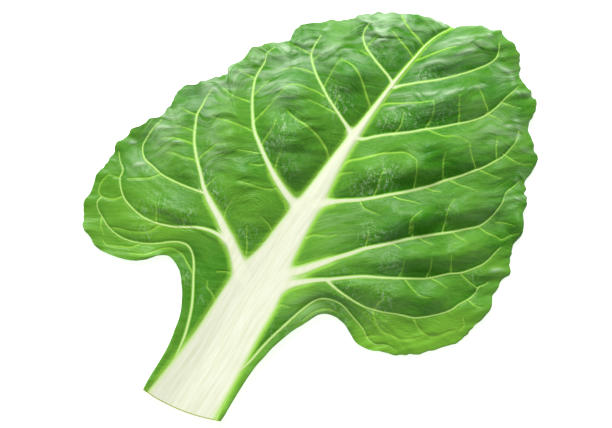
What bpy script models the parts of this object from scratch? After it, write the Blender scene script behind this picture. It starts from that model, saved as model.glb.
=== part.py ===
"""One leaf of broad-ribbed chard, cut from its plant and lying on the back of its rib.

The stalk, the midrib, the side veins and the blade grew as one piece, so they are one closed solid.
The leaf is laid out in millimetres on a plan: X runs to its right, Y from the cut end towards the tip,
and Z is up from the table. Cross rows run from the left margin over the rib to the right margin, and each
row comes back along the underside. The rows are stacked from the cut end to the tip.
"""

import bmesh
import bpy
import numpy as np

MM = 0.001

# The midrib: distance up the leaf, sideways place, half width, height of its top edges, thickness.
# Up to about 120 the thickness reaches the table, which leaves the flat strip that the leaf lies on.
RIB = (
    (-4, -0.5, 21.5, 9.0, 13.0),
    (20, -1.5, 19.5, 8.6, 13.0),
    (40, -3.0, 18.0, 8.2, 13.0),
    (60, -5.2, 17.2, 8.0, 12.5),
    (80, -7.5, 16.5, 8.0, 12.0),
    (100, -9.8, 10.5, 8.2, 10.5),
    (120, -11.2, 8.8, 9.0, 8.5),
    (150, -13.0, 6.2, 11.0, 6.5),
    (190, -15.0, 3.6, 13.0, 4.5),
    (230, -15.5, 2.0, 12.5, 3.0),
    (260, -13.7, 1.2, 8.0, 2.0),
    (281, -6.5, 0.8, 1.8, 1.4),
)

# The cross rows: where each leaves the rib, then for the left and the right half the margin's place
# (X, Y), the height of its underside, and how far the row's middle bows towards the tip.
ROWS = (
    (-4, (-24.5, -7, 7.2, 0), (23.5, 5.5, 7.2, 0)),
    (12, (-26.5, 10, 7.2, 0), (22.5, 15, 7.4, 0)),
    (27, (-29, 29, 7.0, 0), (21, 29, 7.4, 0)),
    (40, (-33, 44, 6.5, 0), (21, 42, 7.2, 0)),
    (50, (-41, 57, 5.5, 2), (21.5, 54, 7.0, 0)),
    (58, (-52, 65, 4.5, 6), (23, 64, 6.5, 0)),
    (65, (-63, 64, 3.0, 10), (26, 74, 6.0, 1)),
    (71, (-72, 54.5, 1.5, 15), (29, 83, 5.0, 2)),
    (76, (-83, 46.5, 0.5, 19), (34, 92, 4.0, 4)),
    (80.5, (-95, 44, 0, 20), (42, 97, 3.0, 7)),
    (84.5, (-107, 46, 0, 17), (52, 95.5, 2.0, 10)),
    (88, (-117, 54, 0, 12), (62, 92, 0.5, 13)),
    (91, (-122.5, 67, 1.0, 6), (73, 95.5, 0, 13)),
    (94, (-126, 82, 2.5, 0), (85, 101, 0, 11)),
    (97.5, (-126, 97, 1.0, -4), (96, 112, 0, 7)),
    (102, (-123, 111, 0, -7), (105, 124, 0, 3)),
    (108, (-118, 124, 2.0, -9), (111, 138, 1.5, -1)),
    (115, (-115.5, 138, 3.0, -10), (112, 153, 3.0, -4)),
    (123, (-114, 151, 0, -11), (110, 167, 0, -7)),
    (133, (-106, 162, 0, -11), (106, 182, 4.0, -9)),
    (143, (-99.5, 175, 2.5, -11), (101, 195, 1.0, -10)),
    (154, (-96, 190, 0, -11), (96, 209, 0, -10)),
    (166, (-89.5, 203, 0, -10), (89.5, 221, 3.0, -10)),
    (178, (-83, 215, 2.0, -9), (83.5, 234, 0, -9)),
    (190, (-79.5, 227, 0, -9), (79, 247, 4.0, -9)),
    (202, (-71, 236.5, 0, -8), (67, 255, 2.0, -8)),
    (214, (-60, 243, 2.0, -6), (62, 267, 0, -7)),
    (226, (-52, 253, 1.0, -5), (54, 275, 3.5, -6)),
    (238, (-43, 262, 0, -4), (43, 279, 1.0, -5)),
    (250, (-32, 270, 1.0, -3), (35, 287, 0, -4)),
    (261, (-21, 275.5, 0.5, -2), (25, 292, 0, -4)),
    (270, (-14.5, 277.3, 0, -1), (13, 293, 0, -3)),
    (277, (-11, 278.3, 0, 0), (3, 288, 0, -1)),
    (281, (-8.6, 280.9, 0, 0), (-4.5, 282.5, 0, 0)),
)

# How high each half swells over the line from rib to margin: row number, left half, right half.
SWELL = (
    (0, 0, 0),
    (3, 0.5, 0.3),
    (6, 2.5, 1.0),
    (9, 6.0, 2.5),
    (12, 9.0, 7.0),
    (16, 13.0, 12.0),
    (20, 16.0, 16.0),
    (25, 15.0, 16.0),
    (29, 9.0, 10.0),
    (33, 0, 0),
)

# The side veins that the blade puckers down to, base to tip.
SIDE_VEINS = (
    ((-22, 27), (-36, 57), (-51, 76), (-63, 75), (-87, 59), (-113, 64)),
    ((-22, 90), (-45, 94), (-70, 82), (-96, 75), (-114, 91)),
    ((-22, 89), (-52, 103), (-81, 120), (-98, 145), (-102, 157)),
    ((-68, 109), (-95, 102), (-113, 111), (-113, 128)),
    ((-20, 137), (-52, 149), (-76, 169), (-85, 197)),
    ((-18, 190), (-42, 199), (-60, 208), (-67, 228)),
    ((-16, 230), (-36, 234), (-48, 247)),
    ((17, 45), (20, 75), (28, 100), (41, 105), (66, 98)),
    ((8, 97), (33, 120), (60, 140), (86, 164), (94, 187)),
    ((24, 112), (50, 112), (78, 124), (95, 147), (100, 170)),
    ((4, 102), (25, 132), (54, 167), (76, 191), (78, 218)),
    ((-4, 150), (22, 173), (48, 207), (62, 233), (62, 250)),
    ((-12, 191), (16, 218), (35, 239), (45, 272)),
    ((-14, 227), (6, 248), (20, 267), (22, 284)),
)

PUCKER_HEIGHT = 4.5
PUCKER_REACH = 7.0  # distance from a vein in which the pucker gains two thirds of its height
BLADE_THICKNESS = 1.2
CHANNEL_DEPTH = 0.28  # depth of the rib's channel, as a share of the height of its edges
CUT_SLANT = 0.27  # rise of the cut across the stalk, in mm for each mm to the right
CUT_CURVE = 0.0056  # bow of the cut, in mm for each mm squared
CUT_FADE = 60.0  # distance up the stalk over which the rows lose the cut's slant
SWELL_RISE, SWELL_FALL = 1.1, 0.65  # powers that put the top of the swell past the middle
RINGS_PER_ROW = 2
BLADE_COLUMNS = 12
RIB_COLUMNS = (-1, -0.94, -0.8, -0.4, 0, 0.4, 0.8, 0.94, 1)


def through(stations, places):
    """Values at places on a smooth curve through stations, whose first column is the place.

    Each stretch is a cubic that takes its slope at a station from the neighbouring stations.
    """
    table = np.array(stations, float)
    where, values = table[:, 0], table[:, 1:]
    slopes = np.gradient(values, where, axis=0)
    first = np.clip(np.searchsorted(where, places) - 1, 0, len(where) - 2)
    span = (where[first + 1] - where[first])[:, None]
    share = (places - where[first])[:, None] / span
    rest = 1 - share
    start = rest**2 * ((1 + 2 * share) * values[first] + share * span * slopes[first])
    end = share**2 * ((1 + 2 * rest) * values[first + 1] - rest * span * slopes[first + 1])
    return start + end


def distance_to_line(x, y, line):
    """Shortest plan distance from each point to a line of straight stretches."""
    nearest = np.full(x.shape, np.inf)
    for (ax, ay), (bx, by) in zip(line, line[1:]):
        run = (bx - ax) ** 2 + (by - ay) ** 2
        share = np.clip(((x - ax) * (bx - ax) + (y - ay) * (by - ay)) / run, 0, 1)
        away = np.hypot(x - ax - share * (bx - ax), y - ay - share * (by - ay))
        nearest = np.minimum(nearest, away)
    return nearest


def pucker(x, y):
    """Height of the blade between its veins: each vein multiplies it by 1 - exp(-distance / reach)."""
    height = np.full(x.shape, PUCKER_HEIGHT)
    for line in SIDE_VEINS:
        height *= 1 - np.exp(-distance_to_line(x, y, line) / PUCKER_REACH)
    return height


def rib_rows(rib_y):
    """Plan places and heights of the rib's columns: a shallow channel between two raised edges."""
    centre, half_width, top, thickness = through(RIB, rib_y).T[:, :, None]
    share = np.array(RIB_COLUMNS, float)[None, :]
    across = share * half_width
    slant = np.clip(1 - (rib_y[:, None] - RIB[0][0]) / CUT_FADE, 0, 1) ** 2
    x = centre + across
    y = rib_y[:, None] + slant * (CUT_SLANT * across + CUT_CURVE * across**2)
    z = top * (1 - CHANNEL_DEPTH * (1 - share**2))
    depth = BLADE_THICKNESS + thickness * np.sqrt(1 - share**2)
    return x, y, z, depth


def blade_rows(side, edge, margin, swell):
    """Plan places and heights of one half of the blade, from the rib's edge out to the margin.

    A row is the straight line from edge to margin, bowed by a parabola. Its height eases from one to the
    other, and adds the swell, share ** rise * (1 - share) ** fall scaled to 1 at its top, and the pucker.
    """
    share = np.linspace(0, 1, BLADE_COLUMNS + 1)[None, 1:]
    edge_x, edge_y, edge_z = (value[:, None] for value in edge)
    margin_x, margin_y, margin_z, bow = (value[:, None] for value in margin)
    run_x, run_y = margin_x - edge_x, margin_y - edge_y
    shift = 4 * share * (1 - share) * bow * side / np.hypot(run_x, run_y)
    x = edge_x + share * run_x - shift * run_y
    y = edge_y + share * run_y + shift * run_x
    peak = SWELL_RISE / (SWELL_RISE + SWELL_FALL)
    full = peak**SWELL_RISE * (1 - peak) ** SWELL_FALL
    rise = share**SWELL_RISE * (1 - share) ** SWELL_FALL / full
    ease = share**2 * (3 - 2 * share)
    base = edge_z * (1 - ease) + (margin_z + BLADE_THICKNESS) * ease
    z = base + rise * (swell[:, None] + pucker(x, y))
    return x, y, z, np.full(x.shape, BLADE_THICKNESS)


def leaf_surfaces():
    """The top and the underside, each an array of ring, column and X, Y, Z in millimetres."""
    rows = [(i, rib_y, *left, *right) for i, (rib_y, left, right) in enumerate(ROWS)]
    number = np.linspace(0, len(ROWS) - 1, (len(ROWS) - 1) * RINGS_PER_ROW + 1)
    values = through(rows, number).T
    rib_y, left_margin, right_margin = values[0], values[1:5], values[5:9]
    left_swell, right_swell = np.maximum(through(SWELL, number).T, 0)
    rib = rib_rows(rib_y)
    left = blade_rows(-1, [part[:, 0] for part in rib[:3]], left_margin, left_swell)
    right = blade_rows(1, [part[:, -1] for part in rib[:3]], right_margin, right_swell)
    x, y, z, depth = (
        np.concatenate([one[:, ::-1], middle, other], axis=1)
        for one, middle, other in zip(left, rib, right)
    )
    z = np.maximum(z, BLADE_THICKNESS)
    top = np.stack([x, y, z], axis=-1)
    under = np.stack([x, y, np.maximum(z - depth, 0)], axis=-1)
    return top, under


def placed(top, under):
    """Both surfaces moved so that the origin is at the bottom centre of the leaf's box."""
    corners = np.concatenate([top.reshape(-1, 3), under.reshape(-1, 3)])
    low, high = corners.min(0), corners.max(0)
    origin = np.array([(low[0] + high[0]) / 2, (low[1] + high[1]) / 2, low[2]])
    return (top - origin) * MM, (under - origin) * MM


def leaf_mesh(name):
    """A closed skin: each ring runs over the top and back underneath, and both ends are capped."""
    top, under = placed(*leaf_surfaces())
    form = bmesh.new()
    rings = []
    for over, below in zip(top, under):
        rings.append([form.verts.new(point) for point in [*over, *below[::-1]]])
    columns = len(rings[0])
    for ring, following in zip(rings, rings[1:]):
        for i in range(columns):
            j = (i + 1) % columns
            form.faces.new((ring[i], ring[j], following[j], following[i]))
    for i in range(columns // 2 - 1):
        back, next_back = columns - 1 - i, columns - 2 - i
        first, last = rings[0], rings[-1]
        form.faces.new((first[i], first[back], first[next_back], first[i + 1]))
        form.faces.new((last[i], last[i + 1], last[next_back], last[back]))
    mesh = bpy.data.meshes.new(name)
    form.to_mesh(mesh)
    form.free()
    mesh.shade_smooth()
    return mesh


def leaf_material():
    """Fresh chard blade: mid green and half glossy."""
    material = bpy.data.materials.new("chard_blade")
    material.use_nodes = True
    shader = material.node_tree.nodes["Principled BSDF"]
    shader.inputs["Base Color"].default_value = (0.09, 0.24, 0.04, 1)
    shader.inputs["Roughness"].default_value = 0.45
    shader.inputs["Metallic"].default_value = 0.0
    return material


for old in list(bpy.data.objects):
    bpy.data.objects.remove(old)
leaf = bpy.data.objects.new("chard_leaf", leaf_mesh("chard_leaf"))
leaf.data.materials.append(leaf_material())
bpy.context.scene.collection.objects.link(leaf)
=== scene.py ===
"""One leaf of broad-ribbed chard, cut from its plant and lying on the back of its rib on a pale table.

Lengths are millimetres on the leaf's own plan, with X to its right, Y from the cut end to the tip and Z up
from the table, until the mesh is placed in the frame, which is in metres.
"""

import math

import bpy
import numpy as np
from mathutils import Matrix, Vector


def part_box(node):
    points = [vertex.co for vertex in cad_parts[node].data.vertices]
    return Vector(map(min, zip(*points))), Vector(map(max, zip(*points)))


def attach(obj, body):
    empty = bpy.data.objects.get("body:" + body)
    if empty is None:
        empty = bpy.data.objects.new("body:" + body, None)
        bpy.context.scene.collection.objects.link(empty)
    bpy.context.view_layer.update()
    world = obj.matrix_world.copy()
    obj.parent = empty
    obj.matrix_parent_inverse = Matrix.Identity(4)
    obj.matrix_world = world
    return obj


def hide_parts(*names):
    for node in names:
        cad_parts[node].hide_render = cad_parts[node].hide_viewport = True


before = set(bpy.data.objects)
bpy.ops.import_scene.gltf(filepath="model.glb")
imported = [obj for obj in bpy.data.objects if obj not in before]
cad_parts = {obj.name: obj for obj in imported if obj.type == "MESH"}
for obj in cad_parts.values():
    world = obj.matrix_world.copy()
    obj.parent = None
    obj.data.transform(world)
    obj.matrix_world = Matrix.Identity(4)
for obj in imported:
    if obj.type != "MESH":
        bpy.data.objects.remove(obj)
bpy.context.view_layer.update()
MM = 0.001

# ---------------------------------------------------------------------------------------------------------
# Outline of the leaf. A broad blade on a wide stalk, with a round lobe on each side at its foot, a crimped
# margin, and a notch at the tip where the midrib runs out. Read as the two margins and the midrib.
# ---------------------------------------------------------------------------------------------------------

# The midrib: distance up the leaf, its left and right edge, height of its edges, thickness.
MIDRIB = (
    (-4, -22.0, 21.5, 9.0, 13.0),
    (20, -21.3, 18.4, 8.6, 13.0),
    (40, -21.0, 15.4, 8.2, 13.0),
    (60, -22.3, 12.2, 8.0, 12.5),
    (80, -23.0, 9.6, 8.0, 12.0),
    (92, -22.0, 6.5, 8.1, 11.0),
    (104, -20.2, 2.1, 8.3, 10.0),
    (120, -19.8, -1.3, 9.0, 8.5),
    (150, -18.8, -6.0, 11.0, 6.5),
    (180, -18.4, -11.0, 12.6, 5.0),
    (200, -17.6, -12.5, 13.1, 4.2),
    (230, -16.6, -13.8, 12.5, 3.0),
    (250, -15.2, -13.0, 9.6, 2.4),
    (260, -14.2, -12.4, 8.0, 2.0),
    (270, -11.3, -9.9, 5.0, 1.6),
    (278, -7.5, -6.2, 2.6, 1.2),
)

# Both margins from the cut end to the notch at the tip.
LEFT_MARGIN = (
    (-24.8, -7.3), (-26, 0), (-26.9, 10), (-28, 20), (-29.7, 28), (-31.7, 34.7), (-33, 39.3), (-35, 44),
    (-38.7, 50), (-40.7, 53), (-44, 56.7), (-47, 60), (-50, 62.7), (-53.3, 64.3), (-56, 65.3), (-60, 65.8),
    (-66, 62), (-69, 57.5), (-72, 54), (-78, 49.5), (-85, 46.5), (-90, 45), (-96, 43.8), (-101, 44.3),
    (-104.5, 46), (-107, 47), (-111, 47.7), (-113, 49.3), (-114.4, 52), (-117, 55.7), (-119.7, 59),
    (-121.3, 62), (-121, 66), (-121.6, 70), (-122.6, 73), (-124.2, 77), (-124.8, 80), (-124.2, 83),
    (-123.9, 88), (-124.3, 93), (-124.2, 96), (-126.1, 99.5), (-126.6, 102.5), (-125, 104.6), (-124.2, 107),
    (-124, 110), (-124.6, 113), (-123, 115.6), (-121.3, 118), (-120, 121), (-119.4, 124.3), (-117.5, 127),
    (-115, 129.3), (-114.3, 132), (-114.7, 134.7), (-114, 139.3), (-115, 143.3), (-115.7, 146.7),
    (-115.3, 150), (-114.7, 152.7), (-113.3, 155), (-110.7, 156.7), (-109, 158.7), (-108.7, 161),
    (-106, 163.3), (-103.7, 167.3), (-101, 170), (-99.3, 172.7), (-98.3, 174.3), (-99.8, 176.7),
    (-99.8, 180), (-98.3, 182), (-97, 184), (-96.2, 186.7), (-96, 190.7), (-96.3, 194), (-95.7, 196.7),
    (-94, 197.7), (-92.3, 200), (-90, 203.7), (-87.7, 205.7), (-85, 208), (-82.3, 210.3), (-80.7, 212.7),
    (-81, 215.3), (-81.8, 218.7), (-81.3, 222), (-80.3, 225), (-78.3, 227), (-75.7, 229.7), (-72.3, 232.3),
    (-70, 235.3), (-68.3, 237.7), (-65, 239.3), (-61, 243), (-57.1, 247.9), (-56.8, 249), (-54.6, 251.8),
    (-52.5, 253.6), (-50, 255.7), (-49.3, 257.5), (-47.5, 259), (-45.4, 259.6), (-43.2, 261.4),
    (-41.8, 263.2), (-37.9, 265), (-33.6, 267.9), (-29.3, 270.7), (-25, 272.9), (-20, 275), (-15, 276.4),
    (-10.7, 277.5), (-7.9, 277.9),
)
RIGHT_MARGIN = (
    (23.9, 5.6), (23.8, 9.3), (23.1, 14.7), (22.3, 22), (21.5, 30.7), (21, 38.7), (21, 46.7), (21.6, 52.1),
    (22.1, 58.6), (23.2, 64.3), (24.6, 70.4), (26.4, 76.4), (28.2, 80.7), (30, 85.7), (33, 92.5), (36, 95),
    (40, 96.5), (45, 96.8), (50, 96), (55, 93.8), (58, 92.5), (62, 91.8), (66, 92.3), (69, 93), (72, 94.3),
    (75, 96.3), (80, 98.3), (84, 100), (86, 101.7), (89, 104), (91, 106.3), (93, 107.3), (96, 110.3),
    (97.2, 112.7), (100.5, 116.3), (104, 121.5), (107, 125.3), (109, 128), (109.6, 130), (110.2, 133),
    (111, 137), (110.8, 140), (111.3, 143), (112, 147), (112.7, 151), (112.9, 155), (112, 159), (110, 162),
    (108.9, 163.6), (109.1, 167.1), (108.6, 170.7), (107.7, 175), (108.6, 177.1), (109.8, 179.6),
    (108.6, 181.8), (105.7, 185), (103.9, 187.9), (102.5, 191.4), (101.1, 193.6), (100.4, 196.4),
    (100.9, 200.7), (100.4, 204), (98.9, 207.1), (97.1, 209.6), (95, 212.1), (93, 215), (92.9, 218.6),
    (91.1, 221.1), (89.6, 223.2), (87.5, 223.6), (86.4, 226.8), (83.9, 228.6), (83, 231.4), (83.2, 236.4),
    (82.5, 240.7), (81.4, 245), (79.6, 247), (77.1, 247.5), (75.4, 248.9), (73.6, 251.4), (71.1, 252.5),
    (69.3, 253.9), (65.4, 256.1), (64.1, 259.3), (63.4, 263.6), (62.5, 267.9), (60.7, 271.4), (58.9, 273.4),
    (57.1, 272.9), (55.7, 273.2), (54.3, 275), (52.9, 275.7), (50.7, 275.6), (48.6, 276.4), (44.3, 277.5),
    (42.5, 278.2), (40.5, 282.3), (38.5, 284.2), (37.3, 285.4), (36.4, 287.3), (35, 289), (33, 289.8),
    (30.2, 291), (28.5, 292), (27.3, 292.3), (25, 291.8), (23.5, 291.6), (21, 292), (19.2, 292.5),
    (17.6, 293.9), (16.8, 293.8), (14, 291.5), (12, 290.2), (9, 290), (6, 289.3), (3, 287), (-1, 284),
    (-4, 281.3), (-5.7, 279), (-6.1, 278.2),
)

# Where cross rows leave the midrib, then for the left and the right half the margin's place that the row
# runs to (X, Y), the height of the blade's underside there, and how far the row bows towards the tip.
ROWS = (
    (-4, (-24.8, -7.3, 7.2, 0), (23.9, 5.6, 7.2, 0)),
    (12, (-26.5, 10, 7.2, 0), (22.5, 15, 7.4, 0)),
    (27, (-29, 29, 7.0, 0), (21, 29, 7.4, 0)),
    (40, (-33, 44, 6.5, 0), (21, 42, 7.2, 0)),
    (50, (-41, 57, 5.5, 2), (21.5, 54, 7.0, 0)),
    (58, (-52, 65, 4.5, 6), (23, 64, 6.5, 0)),
    (65, (-63, 64, 3.0, 10), (26, 74, 6.0, 1)),
    (71, (-72, 54.5, 1.5, 15), (29, 83, 5.0, 2)),
    (76, (-83, 46.5, 0.5, 19), (34, 92, 4.0, 4)),
    (80.5, (-95, 44, 0, 20), (42, 97, 3.0, 7)),
    (84.5, (-107, 46, 0, 17), (52, 95.5, 2.0, 10)),
    (88, (-117, 54, 0, 12), (62, 92, 0.5, 13)),
    (91, (-122.5, 67, 1.0, 6), (73, 95.5, 0, 13)),
    (94, (-126, 82, 2.5, 0), (85, 101, 0, 11)),
    (97.5, (-126, 97, 1.0, -4), (96, 112, 0, 7)),
    (102, (-123, 111, 0, -7), (105, 124, 0, 3)),
    (108, (-118, 124, 2.0, -9), (111, 138, 1.5, -1)),
    (115, (-115.5, 138, 3.0, -10), (112, 153, 3.0, -4)),
    (123, (-114, 151, 0, -11), (110, 167, 0, -7)),
    (133, (-106, 162, 0, -11), (106, 182, 0.5, -9)),
    (143, (-99.5, 175, 2.5, -11), (101, 195, 1.0, -10)),
    (154, (-96, 190, 0, -11), (96, 209, 0, -10)),
    (166, (-89.5, 203, 0, -10), (89.5, 221, 3.0, -10)),
    (178, (-83, 215, 2.0, -9), (83.5, 234, 0, -9)),
    (190, (-79.5, 227, 0, -9), (79, 247, 2.0, -9)),
    (202, (-71, 236.5, 0, -8), (67, 255, 2.0, -8)),
    (214, (-60, 243, 2.0, -6), (62, 267, 0, -7)),
    (226, (-52, 253, 1.0, -5), (54, 275, 2.0, -6)),
    (238, (-43, 262, 0, -4), (43, 279, 1.0, -5)),
    (250, (-32, 270, 1.0, -3), (35, 287, 0, -4)),
    (260, (-21, 275.5, 0.5, -2), (25, 292, 0, -4)),
    (269, (-14.5, 277.0, 0, -1), (13, 292.5, 0, -3)),
    (275, (-10, 277.8, 0, 0), (3, 288, 0, -1)),
    (278, (-7.9, 277.9, 0, 0), (-6.1, 278.2, 0, 0)),
)

TOOTH_LENGTH, TOOTH_HEIGHT = 5.6, 0.28  # of the fine scallops along the margin
TOOTH_DRIFT = ((2.2, 5.0), (1.5, 13.0))  # waves that make their beat uneven: radians, length
TOOTH_CHANGE = 7.3  # length of the wave in their height
TEETH_FROM, TEETH_RISE = 95.0, 15.0  # where along the margin they start, and how soon they are full
SHORTEST_RUN = 5.0  # from rib to margin for which a tooth still has its full height
CUT_SLANT = 0.27  # rise of the cut across the stalk, in mm for each mm to the right
CUT_CURVE = 0.0056  # bow of the cut, in mm for each mm squared
CUT_FADE = 60.0  # distance up the stalk over which the rows lose the cut's slant
MARGIN_POINTS = 4000  # points along a margin from which the nearest to a target is taken
ROW_COUNT, ROW_TRIALS = 384, 6001  # cross rows of the mesh, and rows tried to space them evenly
BLADE_COLUMNS = 73  # columns on each half of the blade
RIB_COLUMNS = 14
CROWDING = 0.14  # share by which the columns crowd together at the rib and at the margin
RIB_PACE = 0.9  # weight of a row's step along the midrib against its steps along the margins
ON_RIB = slice(BLADE_COLUMNS, BLADE_COLUMNS + RIB_COLUMNS + 1)  # columns from one rib edge to the other
RIB_MIDDLE = BLADE_COLUMNS + RIB_COLUMNS // 2
UNDER_STEP = 2  # the underside has a column under every second column of the top


def through(stations, places, steady=False):
    """Values at places on a smooth curve through stations, whose first column is the place.

    Each stretch is a cubic. Its slope at a station is the neighbours' mean slope, or, for a steady curve
    that never passes its stations, the harmonic mean of the slopes of the two stretches that meet there.
    """
    table = np.array(stations, float)
    where, values = table[:, 0], table[:, 1:]
    if steady:
        rise = np.diff(values, axis=0) / np.diff(where)[:, None]
        product = rise[:-1] * rise[1:]
        total = rise[:-1] + rise[1:]
        middle = np.where(product > 0, 2 * product / np.where(product > 0, total, 1), 0)
        slopes = np.concatenate([rise[:1], middle, rise[-1:]])
    else:
        slopes = np.gradient(values, where, axis=0)
    first = np.clip(np.searchsorted(where, places) - 1, 0, len(where) - 2)
    span = (where[first + 1] - where[first])[:, None]
    share = (places - where[first])[:, None] / span
    rest = 1 - share
    start = rest**2 * ((1 + 2 * share) * values[first] + share * span * slopes[first])
    end = share**2 * ((1 + 2 * rest) * values[first + 1] - rest * span * slopes[first + 1])
    return start + end


def measured(points):
    """The points with the length of the line up to each in front."""
    points = np.array(points, float)
    steps = np.hypot(*np.diff(points[:, :2], axis=0).T)
    return np.column_stack([np.concatenate([[0], np.cumsum(steps)]), points])


def margin_places(margin, targets):
    """Length along a margin of the point nearest each target, never less than the one before it."""
    line = measured(margin)
    length = np.linspace(0, line[-1, 0], MARGIN_POINTS)
    curve = through(line, length)
    gap = np.hypot(*(curve[None, :, :] - np.array(targets)[:, None, :]).transpose(2, 0, 1))
    return np.maximum.accumulate(length[gap.argmin(1)])


def cross_rows():
    """For each row of the mesh: its place on the midrib, and the margin's point, height and bow each side.

    The rows are spread so that the longest of a row's three steps, along either margin or along the
    midrib, is the same for all.
    """
    number = np.arange(len(ROWS), dtype=float)
    rib_y = np.array([row[0] for row in ROWS], float)
    sides = []
    for margin, side in ((LEFT_MARGIN, 1), (RIGHT_MARGIN, 2)):
        table = np.array([row[side] for row in ROWS], float)
        places = margin_places(margin, table[:, :2])
        places[0], places[-1] = 0, measured(margin)[-1, 0]
        rest = np.column_stack([number, table[:, 2:]])
        sides.append((measured(margin), np.column_stack([number, places]), rest))

    def at(numbers):
        rib = through(np.column_stack([number, rib_y]), numbers, steady=True)[:, 0]
        halves = []
        for line, places, rest in sides:
            point = through(line, through(places, numbers, steady=True)[:, 0])
            halves.append(np.column_stack([point, through(rest, numbers)]))
        return rib, halves

    fine = np.linspace(0, number[-1], ROW_TRIALS)
    rib, halves = at(fine)
    margin_steps = [np.hypot(*np.diff(half[:, :2], axis=0).T) for half in halves]
    steps = np.max([*margin_steps, RIB_PACE * np.diff(rib)], axis=0)
    travelled = np.concatenate([[0], np.cumsum(steps + 1e-3)])
    rows = np.interp(np.linspace(0, travelled[-1], ROW_COUNT), travelled, fine)
    return rows, *at(rows)


def teeth(travelled):
    """How far the scallops stand out along a margin: a sine whose beat drifts and whose height changes."""
    drift = sum(turn * np.sin(travelled / length) for turn, length in TOOTH_DRIFT)
    height = TOOTH_HEIGHT * (0.6 + 0.4 * np.sin(travelled / TOOTH_CHANGE))
    height = height * np.clip((travelled - TEETH_FROM) / TEETH_RISE, 0, 1)
    return height * np.sin(2 * np.pi * travelled / TOOTH_LENGTH + drift)


def plan():
    """X, Y of the top's grid, with each row's share from the rib's edge to the margin, and its side."""
    rows, rib_y, (left, right) = cross_rows()
    left_edge, right_edge, top, depth = through(MIDRIB, rib_y).T[:, :, None]
    across = np.sin(np.linspace(-np.pi / 2, np.pi / 2, RIB_COLUMNS + 1))[None, :]
    rib_x = (left_edge + right_edge) / 2 + across * (right_edge - left_edge) / 2
    slant = np.clip(1 - (rib_y[:, None] - MIDRIB[0][0]) / CUT_FADE, 0, 1) ** 2
    rib_ys = rib_y[:, None] + slant * (CUT_SLANT * rib_x + CUT_CURVE * rib_x**2)
    even = np.linspace(0, 1, BLADE_COLUMNS + 1)[None, 1:]
    out = (1 - CROWDING) * even + CROWDING * np.sin(np.pi / 2 * even) ** 2
    parts = [(rib_x, rib_ys, np.zeros(rib_x.shape))]
    for side, half, column in ((-1, left, 0), (1, right, -1)):
        edge_x, edge_y = rib_x[:, [column]], rib_ys[:, [column]]
        run_x, run_y = half[:, [0]] - edge_x, half[:, [1]] - edge_y
        longer = 1 + teeth(measured(half[:, :2])[:, [0]]) / np.maximum(np.hypot(run_x, run_y), SHORTEST_RUN)
        run_x, run_y = run_x * longer, run_y * longer
        shift = 4 * out * (1 - out) * half[:, [3]] * side / np.hypot(run_x, run_y)
        x, y = edge_x + out * run_x - shift * run_y, edge_y + out * run_y + shift * run_x
        parts.append((x, y, out + 0 * run_x))
    x, y, share = (
        np.concatenate([over_left[:, ::-1], middle, over_right], axis=1)
        for middle, over_left, over_right in zip(*parts)
    )
    side = np.concatenate([-np.ones(BLADE_COLUMNS), np.zeros(RIB_COLUMNS + 1), np.ones(BLADE_COLUMNS)])
    return rows, x, y, share, side[None, :] + 0 * x, across, (top, depth), (left, right)


row_number, leaf_x, leaf_y, leaf_share, leaf_side, rib_across, (rib_top, rib_depth), halves = plan()
rib_offset = leaf_x - leaf_x[:, [RIB_MIDDLE]]  # sideways distance from the middle of the midrib

# ---------------------------------------------------------------------------------------------------------
# Veins. Pale side veins leave the midrib and curve towards the tip inside the margin, and fine green ones
# leave those. They are lines on the plan, and what the mesh keeps of them is how far off each one is.
# ---------------------------------------------------------------------------------------------------------

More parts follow.
